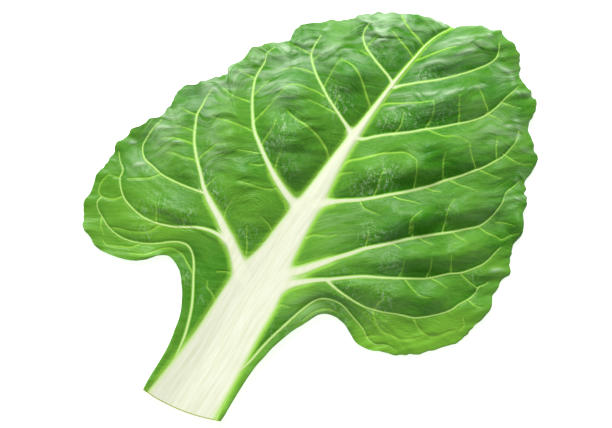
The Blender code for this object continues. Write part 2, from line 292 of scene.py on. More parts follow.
# Side veins, base to end: X, Y and half width at each point.
SIDE_VEINS = (
    ((-20.5, 18, 0.3), (-22, 25, 0.6), (-24, 33, 0.8), (-27, 41, 0.8), (-31, 49.5, 0.8), (-36, 57.5, 0.75),
     (-41, 64.5, 0.7), (-46, 71.5, 0.65), (-50, 75.5, 0.6), (-55, 77.7, 0.6), (-60, 76.5, 0.5),
     (-65, 73, 0.5), (-69.5, 68.5, 0.45), (-75, 64, 0.4), (-80, 61, 0.4), (-85, 58.8, 0.4),
     (-90, 57.5, 0.4), (-97, 57.3, 0.4), (-102.5, 58.5, 0.4), (-107, 60.5, 0.35), (-112, 63, 0.3),
     (-114.5, 66.5, 0.3), (-114, 70, 0.25)),
    ((-38, 95, 2.6), (-45, 94, 1.4), (-50, 93, 1.1), (-55, 91, 1), (-62, 86.5, 0.8), (-67, 82.7, 0.75),
     (-75, 78.5, 0.65), (-80, 76.6, 0.6), (-86, 75.2, 0.55), (-92, 75.2, 0.5), (-98, 76, 0.5),
     (-103, 77.5, 0.5), (-106, 79.5, 0.45), (-110, 83, 0.45), (-112, 85.5, 0.4), (-113.5, 90.5, 0.4),
     (-118, 93.5, 0.3), (-122, 97.5, 0.2)),
    ((-18, 83, 6), (-30, 91.3, 3.8), (-40, 97, 3.0), (-50, 102.4, 2.4), (-60, 106.7, 1.95),
     (-68, 111.2, 1.5), (-75, 117, 1), (-82, 122.6, 0.85), (-90, 130.5, 0.7), (-95, 138.3, 0.65),
     (-98, 144, 0.6), (-98.7, 150, 0.5), (-99.7, 156, 0.3), (-100, 161, 0.2)),
    ((-67, 108.5, 0.8), (-75, 106, 0.6), (-85, 103.5, 0.55), (-94, 102.3, 0.5), (-100, 103, 0.5),
     (-107, 103.6, 0.5), (-110, 105.5, 0.45), (-113, 109.5, 0.4), (-113.8, 115, 0.4), (-114, 121, 0.35),
     (-113, 128, 0.25)),
    ((-16, 136, 5), (-22, 136.8, 2.7), (-25, 137.5, 2.5), (-30, 139, 2.2), (-38, 142, 1.9),
     (-45, 145.3, 1.6), (-52, 149, 1.35), (-58, 152.5, 1.2), (-65, 157, 1), (-70, 162.3, 0.85),
     (-75, 168.3, 0.75), (-80, 175.8, 0.65), (-83, 182, 0.6), (-84, 188, 0.5), (-84.5, 193.5, 0.4),
     (-86.5, 198, 0.25), (-85, 204, 0.2)),
    ((-18, 190.5, 2.4), (-22, 192, 1.4), (-28, 194, 1), (-35, 196.4, 0.85), (-42, 199, 0.75),
     (-48, 202, 0.65), (-55, 205.5, 0.6), (-60, 209, 0.5), (-65, 213.7, 0.45), (-66.5, 219, 0.4),
     (-67, 226, 0.25)),
    ((-16, 229, 1.4), (-19, 230.3, 0.9), (-25, 231.8, 0.7), (-35, 234.3, 0.6), (-42, 237, 0.5),
     (-46, 240, 0.45), (-48, 244, 0.4), (-48.3, 249, 0.25)),
    ((14, 30, 0.4), (15, 37, 0.7), (16.3, 45, 0.8), (17, 55, 0.8), (18, 64, 0.7), (20, 75, 0.7),
     (21.7, 84, 0.6), (24, 93, 0.55), (26, 98, 0.5), (28.5, 101, 0.45), (33, 103.5, 0.45), (38, 104.8, 0.4),
     (42, 104.7, 0.4), (48, 103.3, 0.35), (54, 102, 0.35), (60, 100.2, 0.3), (63, 98.5, 0.3),
     (67, 97.5, 0.25), (70.5, 97.7, 0.25), (75, 101, 0.2), (80, 102.5, 0.15)),
    ((4, 92, 4), (8, 97, 2.8), (12, 101, 2), (16, 105, 1.7), (20, 108.7, 1.45), (24, 112, 1.3),
     (28, 115.8, 1.15), (33, 120.5, 1), (40, 126.5, 0.9), (50, 133, 0.75), (60, 140, 0.6),
     (66, 144.3, 0.55), (70, 147.3, 0.5), (74, 151.5, 0.5), (80, 158.5, 0.45), (85, 162.8, 0.45),
     (90, 170, 0.4), (93, 175.5, 0.4), (94.2, 181, 0.35), (94.7, 187, 0.25), (95.5, 190, 0.15)),
    ((24, 111.2, 1.1), (30, 110.6, 0.8), (38, 110.6, 0.65), (46, 111.3, 0.55), (52, 112.3, 0.5),
     (57, 114, 0.5), (62, 116.2, 0.45), (68, 119.5, 0.45), (74, 122.3, 0.45), (79, 124.6, 0.4),
     (84, 129, 0.4), (88, 133.5, 0.4), (92, 138.5, 0.4), (94.5, 143, 0.4), (95.6, 147, 0.35),
     (98, 152, 0.35), (99.5, 157, 0.35), (99.6, 160, 0.3), (99, 162.5, 0.3), (101, 165.5, 0.25),
     (102, 169, 0.15)),
    ((1, 97, 4), (4, 102, 3), (8, 107, 2.7), (12, 113, 2.35), (16, 119, 2), (20, 125, 1.65),
     (25, 132, 1.45), (30, 139.5, 1.3), (36, 146.3, 1.15), (42, 153.5, 1), (48, 160.7, 0.9), (54, 167, 0.8),
     (60, 173.3, 0.7), (66, 179.2, 0.65), (72, 186, 0.6), (77, 191.7, 0.5), (79.3, 198, 0.4),
     (80, 205, 0.35), (79.7, 212, 0.3), (78, 218, 0.25), (79.5, 223, 0.2), (80.5, 229, 0.1)),
    ((-9, 144, 4), (-6, 147, 2.8), (-1.5, 151, 1.8), (4, 156, 1.4), (10, 161, 1.25), (16, 167, 1.05),
     (22, 173.7, 0.95), (28, 180, 0.9), (34, 187, 0.85), (40, 194.7, 0.8), (44, 201, 0.75), (50, 209, 0.65),
     (55, 217, 0.6), (58, 221.5, 0.5), (61, 228, 0.45), (63.5, 234, 0.35), (64.2, 240, 0.3),
     (64.3, 246, 0.2), (61.5, 252, 0.1)),
    ((-13, 190, 1.8), (-10, 191.5, 1.1), (-5, 197, 0.85), (2, 204, 0.75), (9, 210.5, 0.65), (16, 218, 0.6),
     (23, 225, 0.55), (29, 232, 0.5), (35, 238.5, 0.45), (40.3, 247, 0.45), (43, 257, 0.35),
     (43.5, 262, 0.3), (45, 269, 0.2), (45.5, 273, 0.1)),
    ((-14, 227, 1.3), (-11, 230.5, 0.8), (-5, 237, 0.6), (0, 242, 0.55), (5, 247, 0.5), (10, 253, 0.45),
     (15, 259.5, 0.4), (20, 267, 0.4), (24, 274.5, 0.4), (24.8, 279, 0.35), (23.3, 283, 0.25),
     (21, 286, 0.15)),
)

# Thin veins that run far into the blade, in the same form.
THIN_VEINS = (
    ((-43.5, 66.5, 0.4), (-50, 69.5, 0.4), (-55, 71.5, 0.35), (-62, 70.5, 0.3), (-67, 66, 0.3),
     (-70, 61, 0.3), (-73, 57.5, 0.3), (-80, 53.3, 0.2)),
    ((-79, 60.5, 0.35), (-82, 56, 0.3), (-86, 53.5, 0.3), (-91, 50.5, 0.3), (-96, 48.5, 0.25),
     (-98, 49.7, 0.15)),
    ((-114, 70, 0.3), (-117, 71, 0.3), (-119, 74.5, 0.3), (-119.5, 79, 0.25), (-118.5, 84, 0.15)),
    ((-104.5, 77.3, 0.4), (-107, 73.5, 0.35), (-110, 71.5, 0.3), (-114, 70, 0.3)),
    ((-75.5, 78.3, 0.45), (-77, 74, 0.35), (-78.3, 71, 0.3), (-82, 67.5, 0.3), (-88, 63.5, 0.3),
     (-94, 61, 0.3), (-98, 58.8, 0.3)),
    ((-94, 102.3, 0.4), (-97, 97, 0.3), (-101, 93.5, 0.3), (-108, 88, 0.2)),
    ((-14, 248.5, 0.5), (-20, 250.3, 0.45), (-27, 251.8, 0.35), (-34, 253.6, 0.2)),
    ((-13, 257.8, 0.6), (-20, 259.6, 0.5), (-27, 261, 0.45), (-32, 262.7, 0.35), (-36, 265.3, 0.2)),
    ((-19, 170, 0.7), (-22, 172.5, 0.6), (-27, 175, 0.5), (-33, 176.8, 0.45), (-42, 177.5, 0.4),
     (-50, 177, 0.3), (-57, 178, 0.15)),
    ((-17.5, 209.5, 0.6), (-23, 213, 0.5), (-30, 218, 0.45), (-36, 221.3, 0.4), (-43, 222.7, 0.25),
     (-49, 221.5, 0.15)),
    ((27, 84, 0.35), (28.3, 89, 0.35), (31, 94.3, 0.3), (35, 98, 0.3), (41, 99.7, 0.15)),
    ((56, 113.5, 0.45), (60, 110.5, 0.4), (65, 107.5, 0.4), (70, 106.8, 0.4), (75, 108, 0.35),
     (81, 109.6, 0.3), (85, 112.6, 0.3), (88, 116, 0.25), (90, 118.5, 0.15)),
    ((79, 124.4, 0.4), (83, 122, 0.35), (88, 120.7, 0.35), (91, 120.8, 0.3), (95, 122.6, 0.3),
     (99, 127, 0.3), (100.5, 130, 0.25), (103.5, 133.3, 0.15)),
    ((85.5, 162.5, 0.4), (92, 161.7, 0.35), (99, 161.8, 0.3)),
    ((-10, 173, 0.8), (-8, 177, 0.6), (-4, 181, 0.55), (0, 186, 0.5), (5, 192, 0.45), (10, 196, 0.35),
     (15, 200, 0.25), (23, 200.5, 0.15)),
    ((-13.5, 214, 0.6), (-11, 217, 0.5), (-6, 221, 0.4), (-1, 225, 0.3), (4, 229, 0.25), (9, 234, 0.15)),
    ((-13, 248, 0.5), (-10, 252.5, 0.4), (-6, 259, 0.35), (-2, 265, 0.25), (1, 269, 0.15)),
)

# The finest ones that still stand out as lines: X, Y from where they leave a larger vein.
BRANCHES = (
    ((30, 141), (28, 146), (26, 150)), ((49, 162), (46, 167), (43, 171)),
    ((61, 176.5), (59, 182), (56, 188), (55, 196)), ((41, 152), (45, 153), (48, 153)),
    ((52, 164.5), (56, 165), (61, 166)), ((66, 179.5), (71, 179), (76, 180)),
    ((77, 191.5), (83, 191.5), (89, 193), (93, 193.5), (95, 198), (99, 203)),
    ((15.5, 169), (14.5, 174), (12, 180), (11, 186)), ((32, 186.5), (29, 192), (25, 198), (22.5, 200.5)),
    ((43, 201), (40, 204.5), (36, 210), (34, 215)), ((54, 218.5), (50, 221), (45, 225), (42, 228)),
    ((60.5, 231), (57, 235), (54, 240)), ((11, 161), (15, 159), (20, 160), (25, 161.5)),
    ((25, 175), (30, 176.5), (35, 179), (40, 181)), ((37, 190.5), (42, 192), (46, 194)),
    ((45.5, 203), (51, 204), (57, 206), (63, 208)), ((56, 218.5), (60, 219.5), (66, 221), (71, 223)),
    ((63, 235), (69, 235.5), (75, 237), (80, 241)), ((3, 205), (3.5, 210), (2, 215), (0, 219)),
    ((16, 219), (15.5, 225), (13, 231), (10, 235)), ((30, 233.5), (27, 238), (23, 243), (20, 247)),
    ((40, 250), (35, 253), (30, 256), (26, 258)), ((17, 219), (22, 220), (28, 222), (33, 226), (40, 228)),
    ((40, 248), (45, 249.5), (50, 250)), ((43, 259), (48, 260.5), (54, 263)),
    ((56.5, 138.5), (56, 143), (53, 149)), ((70, 149), (69, 154), (66, 159)),
    ((80, 160), (77, 164), (74, 168)), ((60, 140), (66, 138.3), (74, 137.5), (79, 140)),
    ((72, 149.5), (77, 150.5), (84, 151)), ((57, 115), (56.5, 120), (57, 125)),
    ((8, 80), (11, 83), (15, 85)), ((-1, 125), (1, 128), (4, 130), (9, 133.5), (12, 137)),
    ((-9, 166), (-6, 169), (-3, 172)), ((-47, 103), (-49, 107), (-50, 111), (-50, 118)),
    ((-68, 112), (-67, 116), (-66, 121)), ((-81, 122), (-80.5, 127), (-79, 131), (-78, 136), (-74, 140)),
    ((-83, 121), (-89, 118.5), (-95, 117), (-99, 115)),
    ((-90, 128), (-95, 126.5), (-101, 124), (-106, 120)), ((-93, 135), (-98, 133.5), (-104, 131)),
    ((-98, 143.5), (-103, 142), (-108, 141.5)), ((-64, 86), (-67, 89)),
    ((99.5, 152.5), (104, 152.5), (107, 153.5)), ((103, 142), (106, 139), (105.3, 135)),
    ((84, 200), (89, 203), (94, 205)), ((-107, 60.5), (-104, 55.5), (-100, 53)), ((-112, 85.5), (-116, 84)),
    ((-79, 78), (-83, 83.5), (-86, 87)), ((45.5, 164), (42, 170), (43.5, 178)),
    ((63.5, 98.3), (67, 102), (71, 105)), ((-41, 146), (-43, 151), (-45, 158)),
    ((-56, 153), (-56.5, 158), (-57, 166), (-58, 170)),
    ((-68, 162), (-67, 168), (-66.5, 174), (-66, 180), (-65, 188)), ((-78, 173), (-77, 180), (-76, 186)),
    ((-33, 138), (-35, 135), (-40, 132), (-47, 129.5), (-54, 127)), ((-48, 143.5), (-51, 141), (-55, 139)),
    ((-55, 147), (-60, 144.5), (-66, 141.5)),
    ((-66, 155.5), (-72, 154.5), (-78, 152.5), (-85, 150), (-90, 148)),
    ((-78, 168.5), (-83, 167), (-88, 165.5), (-95, 166)), ((-84, 182), (-89, 181), (-94, 180.5)),
    ((-35.5, 197), (-36, 200), (-37, 204)), ((-47, 202), (-48, 208), (-49, 215), (-49, 223)),
    ((-62, 211), (-61, 216)), ((-33, 194), (-38, 193), (-44, 192), (-50, 190.5)),
    ((-44, 198), (-49, 197.5), (-53, 196.3), (-60, 194), (-65, 190), (-66, 184)),
    ((-58, 205), (-63, 203.5), (-69, 200.5), (-73, 196)), ((-66, 213.5), (-72, 212.5), (-80, 211)),
    ((-41, 236), (-41, 240), (-40, 247)), ((-38, 233.5), (-43, 233)), ((-20, 115), (-24, 117), (-31, 118)),
    ((-22, 61), (-27, 64), (-31, 65), (-33, 68)), ((-25.5, 80), (-29, 78), (-32, 76)),
    ((-23, 92), (-26, 98), (-30, 103), (-34, 109)), ((-21, 131), (-26, 134)),
)
BRANCH_BASE, BRANCH_END = 0.36, 0.10  # half width of a branch at its foot and at its end

PUCKER_HEIGHT = 9.5  # how far the blade rises between side veins that are far apart
TIP_SIDE_REACH, BASE_SIDE_REACH = 10.0, 14.0  # distance over which it does, on either side of a vein
TIP_SIDE_POWER, BASE_SIDE_POWER = 1.3, 1.2  # the larger, the flatter it starts
RIB_REACH = 13.0  # distance over which it rises beside the midrib
VEIN_FLAT = 0.7  # flat strip beside a vein before the blade starts to rise
FADE_FROM, FADE_LEFT = 0.8, 0.3  # where along a side vein its dip starts to fade, and what is left at its end
CORE_SHARE = 0.78  # of a side vein's width that is its pale core
THIN_HALF, WIDE_HALF = 0.9, 1.8  # half widths between which a vein turns from a line into a pale rib
LINE_GAP = 6.0  # how much further off a line counts than it is, so that it doesn't widen the pale ribs
FILLET = 1.3  # how softly the pale ribs run into each other
QUILT_HEIGHT = 5.0  # how far the blade rises between the fine veins
QUILT_REACH = 4.0  # distance over which it does
QUILT_LEFT = 0.25  # what is left of a fine vein's dip at its end
TIPWARD = (-0.6, 0.8)  # plan direction in which the puckers lean


def smooth_line(points):
    """A vein's line with two more points in each stretch, on a smooth curve through those given."""
    line = measured(points)
    length = np.interp(np.arange(3 * len(line) - 2) / 3, np.arange(len(line)), line[:, 0])
    return through(line, length)


def beside(x, y, line):
    """Signed distance from a vein's middle line, its half width there, the share of the way along it, and
    how far the point lies on the vein's tip side, from -1 to 1. Positive is left of the way it runs."""
    nearest = np.full(x.shape, np.inf)
    offset, half, along, lean = (np.zeros(x.shape) for _ in range(4))
    total = np.hypot(*np.diff(line[:, :2], axis=0).T).sum()
    gone = 0.0
    for (ax, ay, ah), (bx, by, bh) in zip(line, line[1:]):
        run_x, run_y = bx - ax, by - ay
        length = math.hypot(run_x, run_y)
        share = np.clip(((x - ax) * run_x + (y - ay) * run_y) / length**2, 0, 1)
        off_x, off_y = x - ax - share * run_x, y - ay - share * run_y
        away = np.hypot(off_x, off_y)
        closer = away < nearest
        nearest = np.where(closer, away, nearest)
        sign = np.sign(run_x * off_y - run_y * off_x)
        offset = np.where(closer, away * sign, offset)
        half = np.where(closer, ah + share * (bh - ah), half)
        along = np.where(closer, (gone + share * length) / total, along)
        tip_part = (off_x * TIPWARD[0] + off_y * TIPWARD[1]) / np.maximum(away, 1e-6)
        lean = np.where(closer, tip_part, lean)
        gone += length
    return offset, half, along, lean


def nearest_of(x, y, lines, rise_of):
    """The closest of many veins: its signed offset, half width and edge distance. Then, over all veins, the
    product of the shares to which the blade has risen beside each, and the sum of exp(-edge / fillet),
    whose logarithm joins the edges of the pale ribs softly."""
    edge = np.full(x.shape, 1e3)
    offset, half, risen, soft = (np.zeros(x.shape) for _ in range(4))
    risen += 1
    for line in lines:
        one_offset, one_half, along, lean = beside(x, y, line)
        one_edge = np.abs(one_offset) - one_half
        closer = one_edge < edge
        edge = np.where(closer, one_edge, edge)
        offset, half = np.where(closer, one_offset, offset), np.where(closer, one_half, half)
        risen *= rise_of(one_edge, along, lean)
        thin = np.clip((WIDE_HALF - one_half) / (WIDE_HALF - THIN_HALF), 0, 1)
        soft += np.exp(-np.clip(one_edge + LINE_GAP * thin, -40, 200) / FILLET)
    return offset, half, edge, risen, soft


WAVE_COUNT = 14  # sine waves in a random surface


def wave_noise(x, y, length, stretch, heading, seed):
    """A smooth random surface of about unit height: a sum of sine waves of nearly one length, squeezed
    by stretch along the heading so that its ripples run that way."""
    random = np.random.default_rng(seed)
    along = (x * math.cos(heading) + y * math.sin(heading)) / stretch
    across = y * math.cos(heading) - x * math.sin(heading)
    total = np.zeros(x.shape)
    for _ in range(WAVE_COUNT):
        turn, phase = random.uniform(0, 2 * np.pi, 2)
        wave = 2 * np.pi / (length * random.uniform(0.7, 1.5))
        total += np.sin(wave * (along * math.cos(turn) + across * math.sin(turn)) + phase)
    return total * math.sqrt(2 / WAVE_COUNT)


# The reach of the puckers changes by a fifth or so over the leaf, in patches about 30 mm apart.
reach_change = np.exp(0.2 * wave_noise(leaf_x, leaf_y, 30, 1, 0, 11))


def side_rise(edge, along, lean):
    """1 - exp(-(edge / reach) ** power), with both blended from the base side's to the tip side's. The
    exponential is less towards the vein's end, where the blade dips less for it."""
    tipward = 0.5 + 0.5 * lean
    reach = (BASE_SIDE_REACH + (TIP_SIDE_REACH - BASE_SIDE_REACH) * tipward) * reach_change
    power = BASE_SIDE_POWER + (TIP_SIDE_POWER - BASE_SIDE_POWER) * tipward
    dip = 1 - (1 - FADE_LEFT) * np.clip((along - FADE_FROM) / (1 - FADE_FROM), 0, 1)
    return 1 - dip * np.exp(-((np.maximum(edge - VEIN_FLAT, 0) / reach) ** power))


def quilt_rise(edge, along, lean):
    """1 - exp(-edge / reach), whose exponential is less towards the vein's end."""
    dip = 1 - (1 - QUILT_LEFT) * along
    return 1 - dip * np.exp(-np.maximum(edge, 0) / QUILT_REACH)


def branch_line(points):
    """A branch with its half widths, thinning evenly to its end."""
    half = np.linspace(BRANCH_BASE, BRANCH_END, len(points))
    return smooth_line(np.column_stack([points, half]))


RIB_START = 4.0  # how far before its first station the rib's edges run on
RIB_POINTS = 160  # points along each edge of the rib


def rib_gap(x, y, side):
    """Distance outside the midrib's nearer edge, and less than 0 on the midrib."""
    places = np.linspace(MIDRIB[0][0] - RIB_START, MIDRIB[-1][0], RIB_POINTS)
    edges = through(MIDRIB, np.maximum(places, MIDRIB[0][0]))
    lines = [np.column_stack([edges[:, column], places, 0 * places]) for column in (0, 1)]
    gap = np.min([np.abs(beside(x, y, line)[0]) for line in lines], axis=0)
    return np.where(side == 0, -gap, gap)


side_offset, side_half, side_edge, side_risen, side_soft = nearest_of(
    leaf_x, leaf_y, [smooth_line(line) for line in SIDE_VEINS], side_rise
)
fine_lines = [smooth_line(line) for line in THIN_VEINS] + [branch_line(line) for line in BRANCHES]
fine_offset, fine_half, fine_edge, fine_risen, _ = nearest_of(leaf_x, leaf_y, fine_lines, quilt_rise)
rib_edge = rib_gap(leaf_x, leaf_y, leaf_side)
pale_edge = -FILLET * np.log(side_soft + np.exp(-np.clip(rib_edge, -40, 200) / FILLET))

# Towards the tip the green round the rib closes in on it: distances past its soft edge count for more.
TIP_FROM, TIP_SPAN, CLOSING = 170.0, 90.0, 1.3
SOFT_EDGE = -0.3
tip_share = np.clip((leaf_y - TIP_FROM) / TIP_SPAN, 0, 1)
closed_in = SOFT_EDGE + (pale_edge - SOFT_EDGE) * (1 + CLOSING * tip_share)
pale_edge = np.where(pale_edge > SOFT_EDGE, closed_in, pale_edge)

# How far up the leaf from the cut's upper edge.
cut_gap = leaf_y - (MIDRIB[0][0] + CUT_SLANT * leaf_x + CUT_CURVE * leaf_x**2)

# ---------------------------------------------------------------------------------------------------------
# Height of the leaf. The rib is a shallow channel, each half of the blade swells up and comes down to a
# crimped margin, and the blade puckers up between its veins.
# ---------------------------------------------------------------------------------------------------------

# How high each half swells over the line from rib to margin: row number, left half, right half.
SWELL = (
    (0, 0, 0),
    (3, 0.5, 0.3),
    (6, 2.0, 1.0),
    (9, 4.0, 2.5),
    (12, 5.0, 5.0),
    (16, 7.0, 8.0),
    (20, 8.0, 10.0),
    (25, 8.0, 10.0),
    (29, 3.0, 7.0),
    (33, 0, 0),
)
SWELL_RISE, SWELL_FALL = 1.0, 1.1  # powers that put the top of the swell near the middle
# Height of the rib's middle over its edges: a shallow channel in the stalk that turns into a crown.
RIB_CROWN = ((-4, -1.4), (40, -1.2), (80, -0.6), (120, 0.2), (170, 0.7), (230, 0.8), (265, 0.6), (278, 0.2))
GROOVE_DEPTH = 1.1  # of the soft groove left of the stalk's middle
GROOVE_PLACE, GROOVE_HALF = -0.28, 0.34  # across the rib, in shares of its half width
GROOVE_END, GROOVE_FADE = 143.0, 110.0  # where it has faded out along the rib, and over what length
BLADE_THICKNESS = 0.7
MARGIN_LOSS, MARGIN_POWER = 0.65, 6  # share of the puckers lost at the margin, and how late it goes

# Folds of the frilled margin: X, Y along the ridge to the margin, height, and its width on the side to its
# left and to its right.
FOLDS = (
    (((34, 272), (46, 275), (60, 276)), 0.8, 8, 7),
    (((58, 246), (70, 249), (84, 249)), 0.6, 8, 7),
    (((84, 206), (94, 208), (104, 208)), 7.0, 7, 6),
    (((8, 286), (20, 290), (34, 294)), 2.0, 6, 6),
    (((-70, 218), (-77, 224), (-84, 228)), -2.0, 5, 5),
    (((-84, 190), (-92, 194), (-99, 196)), -2.0, 5, 5),
    (((-98, 146), (-107, 150), (-118, 153)), -2.5, 6, 6),
    (((-108, 104), (-118, 108), (-128, 111)), -2.5, 6, 6),
)
FOLD_RISE, FOLD_POWER = 0.455, 1.2  # share of a fold's length over which it comes up, and how

# Narrow crests of the crimped edge, raised a little and given a painted sheen: X, Y along each.
CRESTS = (
    ((64.3, 246), (63, 250), (60.5, 253), (57, 255.5), (53, 256.5)),
    ((28, 272), (31, 274.7), (35, 276), (39, 275.3), (42, 273), (44, 270.5)),
    ((44, 269), (48, 270.5), (53, 272.5), (58, 274)),
    ((-9, 262), (-5, 268), (0, 274), (6, 280), (11, 284.5)),
    ((-5, 264), (0, 270), (6, 277), (12, 281.5), (18, 283.5)), ((2, 262), (6, 268), (10, 273), (14, 275)),
    ((15, 286), (12, 288), (8, 289)), ((22, 252), (26, 257.5), (31, 263)),
    ((-10.5, 268), (-16, 270), (-22, 270.7), (-29, 270)),
    ((-46, 247), (-45.5, 252), (-43.5, 256), (-40, 260)), ((-66.5, 227), (-66.8, 231), (-66, 236)),
    ((-62, 211), (-60.5, 216), (-58, 222), (-55, 226)),
    ((-84.5, 203), (-81, 206.5), (-75, 209), (-69, 210.5)), ((-100, 176), (-94, 180), (-87, 182.5)),
    ((-99.5, 158), (-98.5, 164), (-96, 169)), ((-106, 160), (-101, 164.5), (-95, 170.5)),
    ((-124, 104), (-120, 107), (-116, 108.5)), ((-113, 122), (-110, 125), (-105, 128)),
    ((-105, 119), (-100, 123), (-93, 127)), ((-111, 95), (-108.5, 99), (-105, 102)),
    ((68, 243.5), (73, 245.5), (80, 247.3)), ((75, 233), (78, 231), (80, 227)),
    ((98, 174.5), (103, 178), (109, 181.5)), ((48, 250), (53, 251), (59, 249.5)),
    ((-80, 213.5), (-75, 214.5), (-69, 218)), ((-57, 248), (-52, 248.5), (-48.5, 250.5)),
    ((84, 218), (88, 221.5), (91, 222.5)), ((-90, 186), (-87, 192), (-86.5, 197)),
    ((-22, 274), (-16, 275), (-9, 276)), ((-36, 267), (-32, 263), (-33, 258)),
    ((-58, 223), (-54, 227), (-48, 229), (-40, 232)), ((-40, 239), (-37, 245), (-32, 249)),
    ((-10, 245), (-5, 252), (3, 259)), ((-14, 220), (-8, 226), (0, 232), (10, 241), (18, 248)),
    ((10, 234), (13, 242), (19, 250), (28, 259)), ((-12, 212), (-5, 219), (0, 226)),
    ((-54, 244), (-47, 251), (-41, 255)),
)
CREST_HEIGHT, CREST_HALF = 1.0, 1.2

# Single puckers that bulge out beside the side veins: X, Y, half length along the vein, half
# width across it, height.
BULGES = (
    (-1, 256, 9, 6, 3.0), (10, 270, 8, 6, 1.5), (-6, 208, 8, 5, 2.0), (9, 227, 8, 7, 4.0),
    (5, 177, 8, 7, 1.0), (18, 191, 8, 7, 4.0), (24, 215, 9, 8, 4.0), (44, 228, 6, 5, 1.5),
    (36, 158, 7, 6, 4.0), (48, 175, 7, 6, 4.0), (62, 190, 6, 5, 2.5), (65, 204, 6, 5, 1.0),
    (30, 133, 6, 5, 2.0), (55, 154, 7, 6, 3.0), (-40, 250, 10, 10, 3.0), (-36, 226, 10, 8, 2.0),
    (-30, 268, 7, 7, 1.5), (63, 162, 8, 7, 3.0), (77, 174, 7, 6, 2.5), (40, 121, 9, 4, 2.0),
    (63, 131, 8, 6, 2.0), (80, 146, 9, 7, 3.5),
)
BULGE_HEADING = math.radians(50)
BULGE_REACH = 3.0  # distance from a side vein over which a bulge comes up
BULGE_POWER = 1.4  # the larger, the steeper its sides

# Where the blade puckers more or less than elsewhere: X, Y, radius, and by how much more of its height.
PUCKER_PATCHES = (
    (8, 128, 22, -0.8), (14, 106, 12, -0.6), (100, 128, 22, -0.5), (70, 108, 20, -0.5),
    (102, 155, 18, -0.4), (-95, 62, 26, -0.6), (-115, 80, 20, -0.6), (-40, 78, 16, -0.4),
    (-38, 116, 26, -0.55), (-96, 100, 16, -0.55), (-28, 158, 16, 0.1), (-28, 205, 12, 0.0),
    (-24, 256, 18, -0.5), (38, 158, 14, 0.1), (22, 182, 14, 0.1), (10, 220, 12, 0.3), (28, 243, 12, -0.45),
    (0, 248, 12, 0.25), (40, 208, 14, 0.1), (80, 212, 16, -0.5), (90, 182, 12, -0.3), (17, 150, 14, -0.5),
    (25, 138, 10, -0.3), (-108, 101, 14, -0.5), (-92, 97, 14, -0.4), (12, 274, 14, -0.3),
    (74, 125, 15, -0.45), (40, 157, 10, -0.3), (52, 178, 10, -0.3), (62, 148, 14, -0.4),
    (90, 150, 10, -0.2), (60, 185, 14, -0.2), (34, 190, 12, -0.2), (102, 175, 12, -0.4), (74, 246, 8, -0.3),
    (70, 195, 12, -0.2), (76, 232, 9, -0.3), (53, 271, 7, -0.3), (-70, 200, 10, -0.3), (-50, 158, 10, -0.3),
)

# Wrinkles that run round a field's inner corner, as arcs: the corner, the middle of the wrinkled part, its
# radius, the length of a wave and its height.
WRINKLES = (
    ((-28, 152), (-62, 182), 26, 9.0, 0.5), ((-28, 152), (-45, 200), 18, 8.0, 0.5),
    ((-60, 108), (-85, 152), 22, 8.5, 0.8), ((-26, 204), (-55, 228), 20, 7.5, 0.4),
    ((-72, 100), (-98, 122), 20, 8.0, 0.7), ((-84, 180), (-92, 200), 16, 6.0, 0.3),
    ((-22, 236), (-34, 262), 18, 7.0, 0.6), ((-66, 210), (-72, 226), 14, 6.0, 0.5),
    ((-50, 160), (-90, 178), 14, 7.0, 0.7), ((-30, 105), (-60, 135), 22, 10.0, 0.35),
    ((140, 40), (10, 222), 26, 7.5, 0.5), ((150, 60), (45, 236), 22, 7.0, 0.55),
    ((160, 40), (50, 196), 24, 8.5, 0.5), ((160, 60), (72, 208), 22, 8.0, 0.55),
    ((150, 140), (24, 262), 22, 6.5, 0.6), ((120, 200), (0, 268), 18, 6.5, 0.5),
    ((160, 20), (62, 160), 22, 8.5, 0.4), ((110, 60), (70, 136), 20, 8.0, 0.35),
)
# Each wave falls from a narrow crest to a broad dip, by this many times its height, with this power.
WRINKLE_FALL, WRINKLE_POWER = 1.6, 0.8
# How far the arcs wander from true circles, in waves about 22 mm long.
wrinkle_sway = 1.6 * wave_noise(leaf_x, leaf_y, 22, 1, 0, 7)

# Ripples of each half, which run along its side veins: height, length across them, stretch along them, seed.
RIPPLES = ((0.5, 14, 3, 3), (0.22, 6, 4, 5))
RIPPLE_FULL, RIPPLE_POWER = 0.625, 0.6  # share of the puckers' rise where ripples are full, and how they fade
VEIN_HEADINGS = (32, 52)  # degrees from the leaf's X of the left half's streaks and of the right half's

# Where the blade crinkles finely in the corners between the rib and its side veins, with light flecks of
# painted glints and dark flecks of painted shade on the crinkles: X, Y, radius, amount.
FLECK_PATCHES = (
    (-73, 119, 6, 0.8), (-63, 113, 6, 0.9), (-54, 108, 6, 0.8), (-66, 92, 6, 0.8), (-83, 88, 7, 0.6),
    (-91, 77, 6, 0.5), (-31, 105, 6, 0.9), (-44, 64, 6, 0.7), (-80, 66, 8, 0.5), (-80, 136, 7, 0.4),
    (-28, 60, 7, 0.4), (20, 70, 8, 0.5), (-52, 171, 8, 0.9), (-50, 156, 7, 0.9), (-34, 149, 7, 0.6),
    (-39, 205, 7, 0.9), (-32, 199, 7, 0.9), (-31, 237, 6, 0.8), (-4, 243, 6, 0.9), (3, 250, 5, 0.5),
    (-4, 208, 7, 0.8), (4, 220, 8, 0.9), (19, 231, 8, 0.6), (6, 168, 7, 0.8), (11, 176, 8, 0.9),
    (16, 185, 7, 0.8), (28, 148, 7, 0.9), (38, 156, 7, 0.4), (41, 98, 10, 0.6), (30, 118, 8, 0.4),
    (57, 124, 7, 0.8), (39, 115, 6, 0.6), (47, 140, 8, 0.5), (60, 112, 8, 0.5), (58, 186, 7, 0.5),
    (94, 166, 5, 0.6),
)
